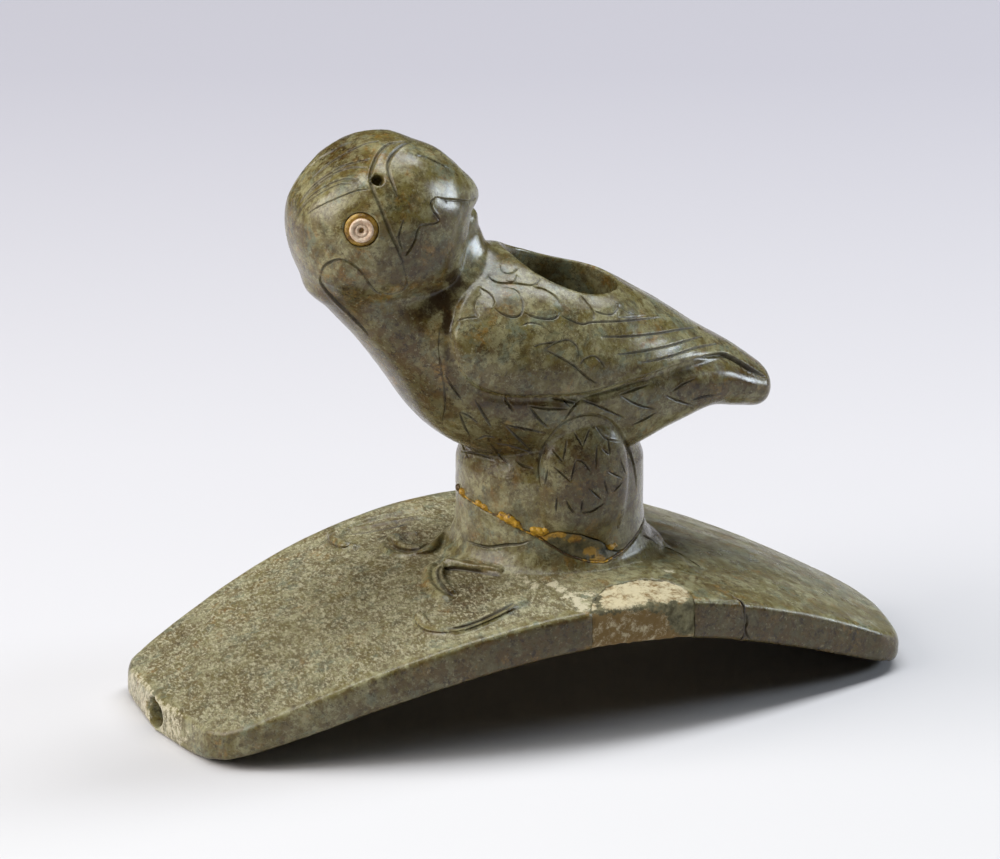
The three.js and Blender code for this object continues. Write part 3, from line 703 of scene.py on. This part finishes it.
slab_parts = [
    (front_stone, "platform_front", FRONT_TRIANGLES), (rear_stone, "platform_rear", REAR_TRIANGLES),
]
for stone, node, most in slab_parts:
    mark_cuts(stone, slab_lines)
    pitting = weathered(stone, (0.82, 0.08), (0.20, 0.08), 0) * (1 - marks_on(stone, "touched"))
    roughened(stone, "pitted_" + node, PIT_SIZE, PIT_DEPTH, pitting, 0.62)
    thinned(stone, most)
    move_skin(stone, np.clip(skin_points(stone), np.array(cad_low) / MM, np.array(cad_high) / MM))
    mark_cuts(stone, slab_lines)
    points, normals = skin_points(stone), skin_normals(stone)
    ground = weathered(stone, (0.7, 0.15), (0.45, 0.2), 0.12)
    mark_skin(stone, "ground", ground * (1 - marks_on(stone, "touched")))
    mouth_end = np.clip((-47.5 - points[:, 0]) / 1.5, 0, 1) * np.clip((-0.4 - normals[:, 0]) / 0.2, 0, 1)
    # Painted shade: the faces turned from the top are painted darker brown, less so towards the mouth
    # end, for the sides that get less light.
    side_shade = np.clip((0.55 - normals[:, 2]) / 0.3, 0, 1) * (1 - mouth_end) * (points[:, 2] < 19)
    side_shade *= np.clip((points[:, 0] + SLAB_END) / 45, 0.3, 0.95)
    mark_skin(stone, "brown", np.maximum(spread(points, BROWNED_AND_SHADED_SLAB), side_shade))
    mark_skin(stone, "dust", np.maximum(spread(points, WORN_PALE) * (points[:, 1] < 0), 0.62 * mouth_end))
    put_in_place(stone, slab_stone, node, "pipestone_platform")


# The bird
# One stone with its pedestal: the head turned back, the wings and thighs left standing in low
# relief, the feathers cut with a flint point, and the whole rubbed to a soft polish. Its trunk
# and head are lofted through cross-sections, which no primitive gives.
ROUGH_GRAIN = 0.2
BIRD_GRAIN = 0.16
BIRD_TRIANGLES = 196000
# Trunk: the lowest point's x and z, the highest point's, the half width, the narrowing above.
TRUNK = [
    (-28.9, 58.6, -7.3, 65.8, 8.7, .5), (-26.1, 54.2, -5.8, 63, 9.3, .48),
    (-22.3, 49.8, -4.5, 60.5, 10.4, .38), (-18.8, 45, -1.3, 59.5, 11.7, .16),
    (-15.3, 39.8, 3.4, 58, 12.5, .04), (-11.4, 35.9, 7.6, 56.1, 12.9, 0),
    (-5.5, 32.6, 11.2, 54.4, 12.8, 0), (2, 31, 14.6, 52.2, 12.2, 0), (10, 30.9, 19.2, 49.2, 10.9, 0),
    (18, 33.9, 24, 45.9, 9.2, 0), (23.5, 35.8, 28.7, 43, 7.6, 0), (28.4, 35.1, 31.6, 40.9, 6.2, 0),
    (31.9, 34.8, 33.3, 39.3, 4.4, 0),
]
# Head: x, the lowest z, the highest z and the half width.
HEAD = [
    (-30.5, 62.4, 68.6, 3.8), (-29.2, 58.6, 70.9, 6.4), (-26.9, 55.8, 73.3, 8.6), (-24, 54.8, 75.3, 10),
    (-20.5, 54.4, 76.35, 10.6), (-17, 54, 76.35, 10.3), (-14, 54, 75.1, 9.4), (-11.4, 54.6, 73.9, 8),
    (-9.6, 58.5, 72.4, 6.2), (-8.2, 64.3, 70.9, 4.4), (-6.6, 66.2, 69.1, 2.2),
]


def roughed_out(name, stations, fullness, front, back):
    """A rounded body through its stations, closed at a pole on either end."""
    stations = np.array(stations, float)
    ends = (front, stations[0]), (back, stations[-1])
    tips = [np.array([x, z, x, z, 0, station[5]]) for (x, z), station in ends]
    swap = [2, 3, 0, 1, 4, 5]
    turn_back = np.array([1, 1, 1, 1, -1, 1])
    rows = [stations[0][swap] * turn_back, tips[0], *stations, tips[1], stations[-1][swap] * turn_back]
    rings = []
    for a, b, c, d in zip(rows, rows[1:], rows[2:], rows[3:]):
        rings += [bent(a, b, c, d, t) for t in np.linspace(0, 1, 8, endpoint=False)]
    rings = rings[1:]
    angle = np.linspace(0, 2 * np.pi, 96, endpoint=False)
    rise, wide = (np.sign(w) * np.abs(w) ** (2 / fullness) for w in (np.cos(angle), np.sin(angle)))
    corners = [(front[0], 0, front[1])]
    for low_x, low_z, high_x, high_z, half, narrow in rings:
        x = (low_x + high_x) / 2 + rise * (high_x - low_x) / 2
        z = (low_z + high_z) / 2 + rise * (high_z - low_z) / 2
        corners += list(zip(x, half * wide * (1 - narrow * (0.5 + 0.5 * rise)), z))
    corners.append((back[0], 0, back[1]))
    faces, n, end = [], len(angle), len(corners) - 1
    for i in range(n):
        j = (i + 1) % n
        faces += [(0, 1 + j, 1 + i), (end, end - n + i, end - n + j)]
        for first in range(1, end - n, n):
            faces.append((first + i, first + j, first + n + j, first + n + i))
    body = bpy.data.meshes.new(name)
    body.from_pydata([Vector(corner) * MM for corner in corners], [], faces)
    piece = new_piece(name, body)
    face_outwards(piece)
    return piece


def turned(name, profile, middle, sides):
    """A round piece about an upright axis: a disc drawn up and resized from height to height."""
    radius, height = profile[0]
    x, y = middle
    bpy.ops.mesh.primitive_circle_add(
        vertices=sides, radius=radius * MM, fill_type="NGON", location=Vector((x, y, height)) * MM,
    )
    piece = bpy.context.object
    piece.name = name
    bpy.ops.object.mode_set(mode="EDIT")
    for new_radius, new_height in profile[1:]:
        rise = (0, 0, (new_height - height) * MM)
        bpy.ops.mesh.extrude_region_move(TRANSFORM_OT_translate={"value": rise})
        grow = new_radius / radius
        bpy.ops.transform.resize(value=(grow, grow, 1), center_override=Vector((x, y, new_height)) * MM)
        radius, height = new_radius, new_height
    bpy.ops.object.mode_set(mode="OBJECT")
    face_outwards(piece)
    bpy.ops.object.transform_apply(location=True, rotation=True, scale=True)
    return piece


def drilled(name, place, inward, radius, depth):
    """A drill's cylinder, from 3 mm outside the place to that depth."""
    inward = Vector(inward).normalized()
    bpy.ops.mesh.primitive_cylinder_add(
        vertices=48, radius=radius * MM, depth=(depth + 3) * MM,
        location=(Vector(place) + inward * (depth - 3) / 2) * MM,
        rotation=inward.to_track_quat("Z", "Y").to_euler(),
    )
    piece = bpy.context.object
    piece.name = name
    bpy.ops.object.transform_apply(location=True, rotation=True, scale=True)
    return piece


def inside_by(places, outline):
    """How far each place lies inside the closed outline, below 0 where outside."""
    a = np.array(outline)
    b = np.roll(a, -1, axis=0)
    best, inside = np.full(len(places), 1e9), np.zeros(len(places), bool)
    for (ax, az), (bx, bz) in zip(a, b):
        run = np.array([bx - ax, bz - az])
        away = places - (ax, az)
        t = np.clip(away @ run / (run @ run + 1e-12), 0, 1)
        best = np.minimum(best, np.linalg.norm(away - t[:, None] * run, axis=1))
        spans = (az > places[:, 1]) != (bz > places[:, 1])
        inside ^= spans & (places[:, 0] < ax + (places[:, 1] - az) * (bx - ax) / (bz - az + 1e-12))
    return np.where(inside, best, -best)


PEDESTAL_PROFILE = [
    (15.9, 15), (14.45, 18.6), (13.13, 19.9), (12.34, 21.6), (12.05, 24), (12.05, 31), (10, 37),
]
BOWL_MIDDLE = (5.2, -0.5)
BOWL_PROFILE = [(2.76, 16.4), (4.6, 18.6), (5.9, 30), (7.1, 46), (7.4, 56), (7.7, 72)]
trunk = roughed_out("trunk", TRUNK, 2.15, (-18, 66), (33.7, 37))
upright_head = [(x, low, x, high, half, 0) for x, low, high, half in HEAD]
head = roughed_out("head", upright_head, 2.25, (-30.9, 65.5), (-5.9, 67.3))
pedestal = turned("pedestal", PEDESTAL_PROFILE, (PEDESTAL_X, 0), 96)
thighs = [rounded("thigh", (4.6, side * 9.6, 29.6), (6.4, 3.7, 11.3), 0.07) for side in (-1, 1)]
bird = joined([trunk, head, pedestal, *thighs], "bird_stone")
remesh(bird, ROUGH_GRAIN)
points = skin_points(bird)
throat = np.exp(-((points[:, 0] + 25) / 7) ** 2 - ((points[:, 2] - 56.5) / 5.5) ** 2)
thigh_foot = np.exp(-((points[:, 0] - 4.6) / 9) ** 2 - ((points[:, 2] - 20) / 4.5) ** 2)
rub(bird, 1.7, ROUGH_GRAIN, np.clip(throat * 1.7, 0, 1))
rub(bird, 1.0, ROUGH_GRAIN, np.clip(thigh_foot * 1.7, 0, 1))

# The wing and the mantle stand above the neck and belly, inside this line on the photograph.
WING_RIM = [
    (456, 320), (453, 332), (454, 349), (458, 364), (466, 377), (478, 387), (494, 393), (516, 396),
    (540, 396), (563, 395), (592, 392), (620, 384), (644, 377), (668, 368), (692, 361), (716, 355),
    (726, 355), (740, 362), (753, 370), (766, 377),
]
MANTLE_RIM = [(489, 250), (489, 262), (485, 277), (473, 285), (463, 298), (457, 310), (456, 320)]
tree = BVHTree.FromObject(bird, bpy.context.evaluated_depsgraph_get())
raised_outline = [(36, 44), (24, 60), (-2, 66)]
for seen in (MANTLE_RIM, WING_RIM):
    spots, _ = laid_on(tree, seen)
    raised_outline += [tuple(spot) for spot in spots[::4, [0, 2]]]
points, normals = skin_points(bird), skin_normals(bird)
behind_neck = (points[:, 0] > -17) & (points[:, 2] > 35)
inside = np.where(behind_neck, inside_by(points[:, [0, 2]], raised_outline), -9)
raised = np.clip((inside + 0.2) / 0.7, 0, 1)
raised = raised * (2 - raised) + 0.34 * np.clip(inside / 3.5, 0, 1)
raised -= 0.32 * np.exp(-((inside + 0.7) / 0.6) ** 2)
height = (0.30 + 0.75 * np.abs(normals[:, 1])) * np.clip((33 - points[:, 0]) / 14, 0, 1)
height *= np.clip((58.5 - points[:, 2]) / 6, 0.15, 1)
move_skin(bird, points + normals * (raised * height)[:, None])

EYE = Vector((-25, -9.4, 67.4))
EYE_FACING = Vector((-0.34, -1, 0.12))
NOSTRIL, NOSTRIL_INWARD = Vector((-22.1, -7.6, 73.2)), Vector((0.1, 0.75, -0.5))
small_holes = []
for mirror in (Vector((1, 1, 1)), Vector((1, -1, 1))):
    small_holes.append(drilled("nostril", NOSTRIL * mirror, NOSTRIL_INWARD * mirror, 0.74, 1.5))
    small_holes.append(drilled("socket", EYE * mirror, -EYE_FACING * mirror, 2.2, 1.5))
under_bird = [(x, z + HAIRLINE) for x, z in PEDESTAL_BREAK] + [(30, -6), (-22, -6)]
holes = [
    cutter(under_bird, "Y", "below_break", -40, 40),
    joined(small_holes, "small_holes"),
    turned("bowl", BOWL_PROFILE, BOWL_MIDDLE, 72),
]
for hole in holes:
    carve(bird, hole)
CHIP_OUTLINE = [
    (-0.9, 24.1), (0.6, 24.8), (3.4, 24.2), (6, 23), (8.3, 21), (9.8, 20.78), (9.8, 18), (-5, 18),
    (-3, 24.5),
]
chip_block = cutter(CHIP_OUTLINE, "Y", "chip_block", -16, -9.45)
chip_fill = parted(bird, chip_block, "INTERSECT", "chip_fill")
carve(bird, chip_block)
remesh(bird, BIRD_GRAIN)
rub(bird, 0.36, BIRD_GRAIN)
points = skin_points(bird)
from_bowl = np.hypot(points[:, 0] - BOWL_MIDDLE[0], points[:, 1] - BOWL_MIDDLE[1])
rub(bird, 0.9, BIRD_GRAIN, np.clip(1.7 - np.abs(from_bowl - 7.5) / 1.0, 0, 1) * (points[:, 2] > 45))
roughened(bird, "hand_carved", 4.5, 0.16)

# The lines of the face, plumage and legs, read off the photograph.
BAND = {"width": 0.26, "depth": 0.28, "dirt_and_shade": 0.6}
BEAK_CUT = {"width": 0.18, "depth": 0.24, "dirt_and_shade": 0.5, "dust": 0.45}
HOOK = {"width": 0.14, "depth": 0.12, "dirt_and_shade": 0.4, "drop": 0.3, "fade": 0.7, "lower": -1, "taper": 0.3}
CREST = {"width": 0.14, "depth": 0.14, "dirt_and_shade": 0.7, "drop": 0.14, "fade": 0.7, "lower": 1}
BROW = {"width": 0.11, "depth": 0.1, "dirt_and_shade": 0.9}
CHEEK = {"width": 0.22, "depth": 0.24, "drop": 0.25, "fade": 1.6, "lower": -1}
# The jaw's faint dark mark is painted shade where the face turns into the neck.
JAW = {"width": 1.0, "depth": 0.14, "dirt_and_shade": 0.1, "taper": 0.4}
# The rim's dark mark, left at the full default, paints the shade under the wing's overhanging lower edge.
RIM = {"width": 0.3, "depth": 0.34, "drop": 0.45, "fade": 1.3, "lower": -1, "taper": 0.06}
FEATHER = {"width": 0.15, "depth": 0.15, "dirt_and_shade": 0.8, "drop": 0.15, "fade": 0.9, "lower": 1}
SCALE = {"width": 0.13, "depth": 0.12, "dirt_and_shade": 0.7, "drop": 0.12, "fade": 0.7, "lower": 1}
QUILL = {"width": 0.16, "depth": 0.18, "dirt_and_shade": 0.9, "drop": 0.14, "fade": 0.9, "lower": 1}
ZIGZAG = {"width": 0.2, "depth": 0.3, "taper": 0.5}
NICK = {"width": 0.16, "depth": 0.22, "taper": 0.45}
THIGH_RIM = {"width": 0.24, "depth": 0.16, "dirt_and_shade": 0.5, "drop": 0.24, "fade": 1.0, "lower": 1}
BIRD_LINES = [
    (BAND, [(411, 141), (398, 142), (387, 145), (379, 153), (374, 163), (371, 173), (371, 183),
        (375, 195), (380, 206), (387, 224), (392, 236), (398, 249), (403, 263), (406, 276)]),
    (BAND, [(415, 141), (405, 144), (396, 150), (390, 158), (388, 166), (390, 176), (394, 187),
        (399, 200)]),
    (BEAK_CUT, [(404, 219), (401, 229), (399, 238), (402, 249)]),
    (BEAK_CUT, [(436, 197), (431, 203), (433, 211), (437, 216), (440, 221)]),
    (BEAK_CUT, [(440, 221), (434, 224), (420, 225)]),
    (BEAK_CUT, [(420, 225), (417, 232), (415, 240), (409, 251), (405, 256)]),
    (BEAK_CUT, [(415, 155), (425, 157), (436, 162), (450, 169)]),
    (HOOK, [(436, 197), (445, 199), (458, 200), (469, 201), (476, 198)]),
    (BROW, [(371, 189), (356, 191), (340, 197), (324, 204), (313, 210), (305, 216)]),
    (CREST, [(372, 159), (360, 161), (345, 165), (331, 172), (316, 183), (305, 195), (297, 207)]),
    (CREST, [(367, 168), (353, 167), (338, 171), (324, 179), (311, 190), (300, 203)]),
    (CREST, [(358, 179), (344, 179), (331, 183), (318, 190), (307, 199), (297, 213)]),
    (CREST, [(353, 183), (340, 184), (327, 189), (315, 196), (304, 205), (295, 219)]),
    (CREST, [(382, 140), (367, 143), (353, 149), (338, 157), (324, 167), (311, 179)]),
    (CREST, [(358, 140), (342, 145), (327, 153), (313, 162), (298, 175)]),
    (CHEEK, [(321, 275), (323, 268), (329, 263), (338, 260), (348, 262), (356, 267), (364, 275),
        (370, 285), (376, 292), (382, 295)]),
    (CHEEK, [(369, 336), (362, 328), (353, 319), (343, 309), (333, 299), (325, 290), (320, 282),
        (321, 275)]),
    (BEAK_CUT, [(406, 276), (407, 283), (405, 288), (399, 292), (391, 294), (383, 293)]),
    (JAW, [(468, 203), (464, 211), (459, 227), (455, 244), (451, 258), (448, 271), (445, 284),
        (441, 296)]),
    (RIM, WING_RIM[1:]),
    (FEATHER, [(456, 321), (466, 318), (479, 317)]),
    (SCALE, [(440, 327), (439, 349), (441, 368), (444, 387), (445, 406), (442, 423)]),
    (FEATHER, [(504, 286), (516, 290), (522, 299), (523, 308), (520, 315), (512, 317), (501, 313),
        (493, 307)]),
    (FEATHER, [(561, 312), (557, 317), (549, 319), (535, 317), (524, 312)]),
    (FEATHER, [(662, 317), (644, 319), (620, 321), (594, 322), (582, 324), (570, 320), (560, 315)]),
    (SCALE, [(492, 307), (494, 302), (490, 294), (479, 287)]),
    (SCALE, [(541, 277), (538, 282), (531, 285), (518, 283), (506, 281)]),
    (SCALE, [(560, 304), (555, 296), (544, 289), (532, 286)]),
    (SCALE, [(594, 321), (594, 313), (588, 304), (580, 294)]),
    (SCALE, [(616, 304), (618, 308), (613, 314), (604, 314), (594, 311)]),
    (SCALE, [(517, 275), (514, 281), (504, 283), (494, 281), (488, 276)]),
    (SCALE, [(478, 317), (474, 308), (476, 299), (482, 294)]),
    (SCALE, [(500, 265), (503, 272), (512, 273), (518, 268)]),
    (SCALE, [(616, 314), (620, 317), (635, 317), (647, 315)]),
    (SCALE, [(619, 306), (628, 312), (637, 315)]),
    (QUILL, [(699, 327), (682, 329), (659, 333), (632, 336), (601, 337)]),
    (QUILL, [(704, 336), (692, 339), (668, 346), (644, 351), (616, 355)]),
    (QUILL, [(720, 343), (704, 346), (692, 349), (668, 357), (640, 363)]),
    (SCALE, [(543, 326), (536, 323), (528, 323), (522, 326)]),
    (SCALE, [(578, 361), (579, 352), (576, 345), (568, 340), (556, 343), (545, 350)]),
    (QUILL, [(598, 384), (587, 377), (573, 365), (556, 355), (545, 350)]),
    (SCALE, [(605, 369), (601, 361), (594, 356), (585, 359), (580, 365)]),
    (SCALE, [(559, 342), (542, 344), (534, 347)]),
    (THIGH_RIM, [(636, 490), (636, 478), (633, 461), (628, 447), (619, 431), (608, 420), (594, 415),
        (577, 417), (561, 425), (551, 436), (543, 448), (539, 461), (539, 474), (541, 488)]),
]
ZIGZAGS = [
    [(445, 375), (452, 387), (464, 403)], [(459, 412), (465, 427), (471, 438)],
    [(459, 412), (469, 416), (479, 424)], [(475, 400), (484, 415), (492, 428)], [(504, 397), (514, 413)],
    [(529, 406), (538, 418), (548, 428)], [(529, 406), (547, 409), (570, 409)],
    [(505, 425), (519, 439), (532, 452)], [(505, 425), (526, 429), (545, 433)],
    [(490, 443), (500, 456), (509, 464)], [(495, 443), (511, 446), (530, 452)], [(561, 397), (570, 407)],
    [(461, 451), (478, 454), (495, 460)], [(581, 399), (602, 408), (626, 419)],
    [(581, 399), (573, 408), (564, 421)], [(583, 398), (611, 391), (640, 382), (650, 380)],
    [(619, 395), (638, 405), (657, 410)], [(619, 395), (630, 391), (650, 384)],
    [(630, 426), (645, 419), (657, 412)], [(664, 395), (678, 401), (694, 406)],
    [(671, 392), (683, 385), (697, 378)], [(549, 398), (566, 401), (580, 404)],
    [(476, 440), (486, 436), (496, 438)], [(690, 401), (702, 397), (716, 395)],
    [(516, 461), (524, 466), (533, 468)],
]
NICKS = [
    [(552, 450), (563, 462)], [(563, 462), (567, 440)], [(574, 432), (583, 447)],
    [(583, 447), (590, 428)], [(595, 425), (600, 432), (607, 439), (622, 442)], [(608, 438), (610, 455)],
    [(610, 455), (602, 449)], [(597, 445), (596, 468)], [(548, 468), (545, 485)],
    [(553, 466), (571, 482)], [(571, 482), (576, 460)], [(576, 460), (583, 462), (591, 472)],
    [(620, 459), (626, 475)], [(623, 479), (607, 471)], [(604, 480), (608, 495)],
    [(623, 482), (613, 492)], [(557, 497), (556, 513)], [(566, 500), (570, 508), (575, 514)],
    [(583, 499), (581, 513)], [(581, 513), (592, 511), (605, 503)], [(588, 488), (602, 500)],
]
# Brown patches on the bird, partly real colour and partly painted shade: under the beak, on the lower
# breast and belly, and on the thigh.
BROWN_AND_SHADE_SPOTS = [
    (335, 155, 38, 18, 0.8), (300, 240, 22, 40, 0.4), (345, 305, 40, 30, 0.9), (420, 262, 36, 35, 0.9),
    (400, 345, 34, 45, 0.95), (430, 390, 45, 45, 0.9), (510, 405, 60, 22, 0.9), (480, 345, 30, 18, 0.6),
    (590, 480, 40, 60, 0.8), (700, 392, 50, 18, 0.85), (745, 378, 25, 20, 0.9), (505, 448, 60, 28, 0.95),
    (540, 375, 60, 14, 0.5), (640, 375, 40, 14, 0.5), (440, 215, 14, 22, 0.7), (625, 480, 20, 60, 0.8),
]
# A dark neck stain, with painted shade in the crevice between chin, neck and shoulder and along the foot
# of the wing's lower rim and front edge.
NECK_STAIN_AND_SHADE = [
    (440, 300, 19, 16, 0.95), (455, 283, 11, 20, 0.95), (424, 312, 20, 10, 0.7), (448, 320, 8, 20, 0.9),
    (400, 300, 22, 8, 0.4), (505, 404, 60, 7, 0.6), (580, 402, 40, 6, 0.5), (447, 360, 5, 30, 0.6),
]
strokes = []
for side in (1, -1):
    strokes += [(how, side, seen) for how, seen in BIRD_LINES]
    strokes += [(ZIGZAG, side, seen) for seen in ZIGZAGS]
    strokes += [(NICK, side, seen) for seen in NICKS]
bird_lines = laid_out(bird, strokes)
finer_along(bird, bird_lines)
cut_skin(bird, bird_lines)
thinned(bird, BIRD_TRIANGLES)
mark_cuts(bird, bird_lines)
points = skin_points(bird)
mark_skin(bird, "brown", spread(points, BROWN_AND_SHADE_SPOTS))
mark_skin(bird, "stain_and_shade", spread(points, NECK_STAIN_AND_SHADE))
BIRD_GREEN, BIRD_PALE, BIRD_BROWN = (0.142, 0.114, 0.034), (0.275, 0.250, 0.130), (0.070, 0.039, 0.009)
bird_polish = pipestone("bird_polish", BIRD_GREEN, BIRD_PALE, BIRD_BROWN, 0.22, 0.03)
put_in_place(bird, bird_polish, "bird", "pipestone_bird")


# The plaster
# It fills the notch broken from the slab's near edge, level with the stone. It was toned to the
# stone's green, and the tone has worn off in patches on the top and along the edge.
def paste(name, dark, light, rough, size, worn=None):
    """An uneven, two-coloured paste; worn is the colour where the skin's worn mark is set."""
    look = Finish(name)
    lumps = look.clouds(size, 9, roughness=0.7)
    colour = look.over(look.between(lumps, 0.40, 0.60, how="LINEAR"), dark, light)
    if worn:
        darker_speckled = tuple(share * part for share, part in zip((0.34, 0.24, 0.10), worn))
        specks = look.clouds(size / 0.7, 10, roughness=0.8)
        speckling = look.combined("MULTIPLY_ADD", look.mark("darker_speckled"), 0.10, specks)
        bare = look.over(look.between(speckling, 0.48, 0.60, how="LINEAR"), worn, darker_speckled)
        ragged = look.combined("MULTIPLY_ADD", lumps, 2.2, look.mark("worn"))
        colour = look.over(look.between(ragged, 1.52, 1.72, how="LINEAR"), colour, bare)
    return look.mixed(Base_Color=colour, Normal=look.bumped(lumps, 0.2), Roughness=rough)


WORN_PLASTER = [
    [(599, 594), (605, 580), (618, 571), (638, 569), (658, 574), (680, 581), (690, 592), (684, 603),
        (662, 603), (645, 602), (630, 609), (610, 612), (599, 603)],
    [(550, 584), (562, 585), (575, 589), (590, 594), (597, 605), (595, 612), (580, 611), (568, 603),
        (555, 593)],
    [(578, 614), (600, 612), (645, 609), (668, 614), (671, 631), (690, 636), (688, 641), (642, 646),
        (605, 650), (588, 650), (590, 625)],
]
roughened(plaster_patch, "trowelled", 1.1, 0.45, np.ones(len(plaster_patch.data.vertices)), 0.75)
points, normals = skin_points(plaster_patch), skin_normals(plaster_patch)
worn = np.max([inside_by(seen_at(points), outline) for outline in WORN_PLASTER], axis=0)
mark_skin(plaster_patch, "worn", 0.5 + worn / 16)
# The worn plaster is speckled darker on the faces turned from the top.
mark_skin(plaster_patch, "darker_speckled", np.clip((0.75 - normals[:, 2]) / 0.4, 0, 1))
plaster = paste("plaster", (0.06, 0.050, 0.018), (0.20, 0.18, 0.09), 0.8, 1.2, (0.50, 0.43, 0.27))
put_in_place(plaster_patch, plaster, "plaster_fill", "plaster")


# The resin
# Hardened gum holds the breaks, brown in the joints, with golden beads squeezed out along the
# pedestal's seam. It also fills the chip at the pedestal's foot, rough and dark with a gold rim.
GOLD_BEADS = [
    (459, 493, 0.7), (463, 499, 0.8), (479, 509, 0.65), (485, 513, 0.6), (503, 522, 0.8),
    (510, 526, 0.95), (516, 530, 0.8), (535, 533, 0.65), (541, 535, 0.75), (546, 533, 0.45),
    (560, 535, 0.4), (572, 540, 0.5), (583, 549, 0.5), (592, 557, 0.65), (598, 564, 0.75),
    (604, 559, 0.7), (610, 552, 0.55), (615, 547, 0.4),
]
tree = BVHTree.FromObject(bird, bpy.context.evaluated_depsgraph_get())
FACES_DOWN, BEAD_SUNK = -0.4, 0.45
GUM_TRIANGLES = 60000
beads = []
for u, v, radius in GOLD_BEADS:
    spots, normals = laid_on(tree, [(u, v - 2), (u, v - 12)])
    if not len(spots) or normals[:, 2].max() < FACES_DOWN:
        continue
    first = np.argmax(normals[:, 2] > FACES_DOWN)
    place = Vector(spots[first]) - Vector(normals[first]) * radius * BEAD_SUNK
    beads.append(rounded("bead", place, (radius * 1.2, radius, radius * 0.8), 0.5))
seam_gum = welded_copy("pedestal_seam_adhesive", "seam_gum")
seam_gum = joined([seam_gum, *beads], "seam_gum")
remesh(seam_gum, 0.1)
roughened(seam_gum, "gum_lumps", 0.7, 0.2)
thinned(seam_gum, GUM_TRIANGLES)
points = skin_points(seam_gum)
golden = spread(points, [(u, v - 3, 10, 9, 1.0) for u, v, _ in GOLD_BEADS])
mark_skin(seam_gum, "worn", golden * (points[:, 1] < 0))
gum = paste("gum", (0.045, 0.024, 0.008), (0.12, 0.07, 0.02), 0.3, 0.9, (0.52, 0.29, 0.02))
put_in_place(seam_gum, gum, "pedestal_seam_adhesive", "resin")

remesh(chip_fill, 0.14)
rub(chip_fill, 0.2, 0.14)
roughened(chip_fill, "chip_lumps", 1.0, 0.35, np.ones(len(chip_fill.data.vertices)), 0.75)
CHIP_GOLD = [
    (540, 534, 12, 8, 1.0), (556, 534, 12, 5, 0.9), (575, 540, 12, 5, 0.8), (590, 551, 9, 6, 0.8),
    (598, 562, 11, 8, 1.0),
]
mark_skin(chip_fill, "worn", spread(skin_points(chip_fill), CHIP_GOLD))
chip_gum = paste("chip_gum", (0.035, 0.033, 0.012), (0.17, 0.14, 0.06), 0.45, 1.4, (0.42, 0.24, 0.03))
put_in_place(chip_fill, chip_gum, "pedestal_chip_fill", "resin")

old_gum = paste("old_gum", (0.015, 0.009, 0.003), (0.05, 0.03, 0.01), 0.6, 0.9)
crack_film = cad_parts["platform_seam_adhesive"].data
crack_film.materials.clear()
crack_film.materials.append(old_gum)


# The eyes
# A ring of pale bone stands in a bed of amber resin in each socket: a raised outer band, a groove
# and an inner disc with a small hole.
EYE_BED = [(2.14, -1.4), (2.14, -0.5), (1.85, -0.3), (1.2, -0.35)]
EYE_RING = [
    (1.1, -1.0), (1.5, -0.3), (1.55, 0.1), (1.4, 0.3), (1.14, 0.3), (0.93, 0.08), (0.80, -0.02),
    (0.74, 0.14), (0.58, 0.18), (0.42, 0.06), (0.36, -0.3), (0.1, -0.5),
]
amber = paste("amber", (0.13, 0.060, 0.008), (0.44, 0.27, 0.045), 0.25, 1.1)
bone = paste("bone", (0.50, 0.32, 0.20), (0.80, 0.65, 0.49), 0.35, 0.7)
for side, mirror in (("right", Vector((1, 1, 1))), ("left", Vector((1, -1, 1)))):
    facing = (EYE_FACING * mirror).normalized()
    parts = ("eye_bed", EYE_BED, amber, "resin"), ("eye_ring", EYE_RING, bone, "bone")
    for part, profile, look, slot in parts:
        piece = turned(f"{part}_piece_{side}", profile, (0, 0), 64)
        piece.location = EYE * mirror * MM
        piece.rotation_euler = facing.to_track_quat("Z", "Y").to_euler()
        pick(piece)
        bpy.ops.object.transform_apply(location=True, rotation=True, scale=True)
        finish_skin(piece, "BEVEL", width=0.05 * MM, segments=2)
        put_in_place(piece, look, f"{part}_{side}", slot)
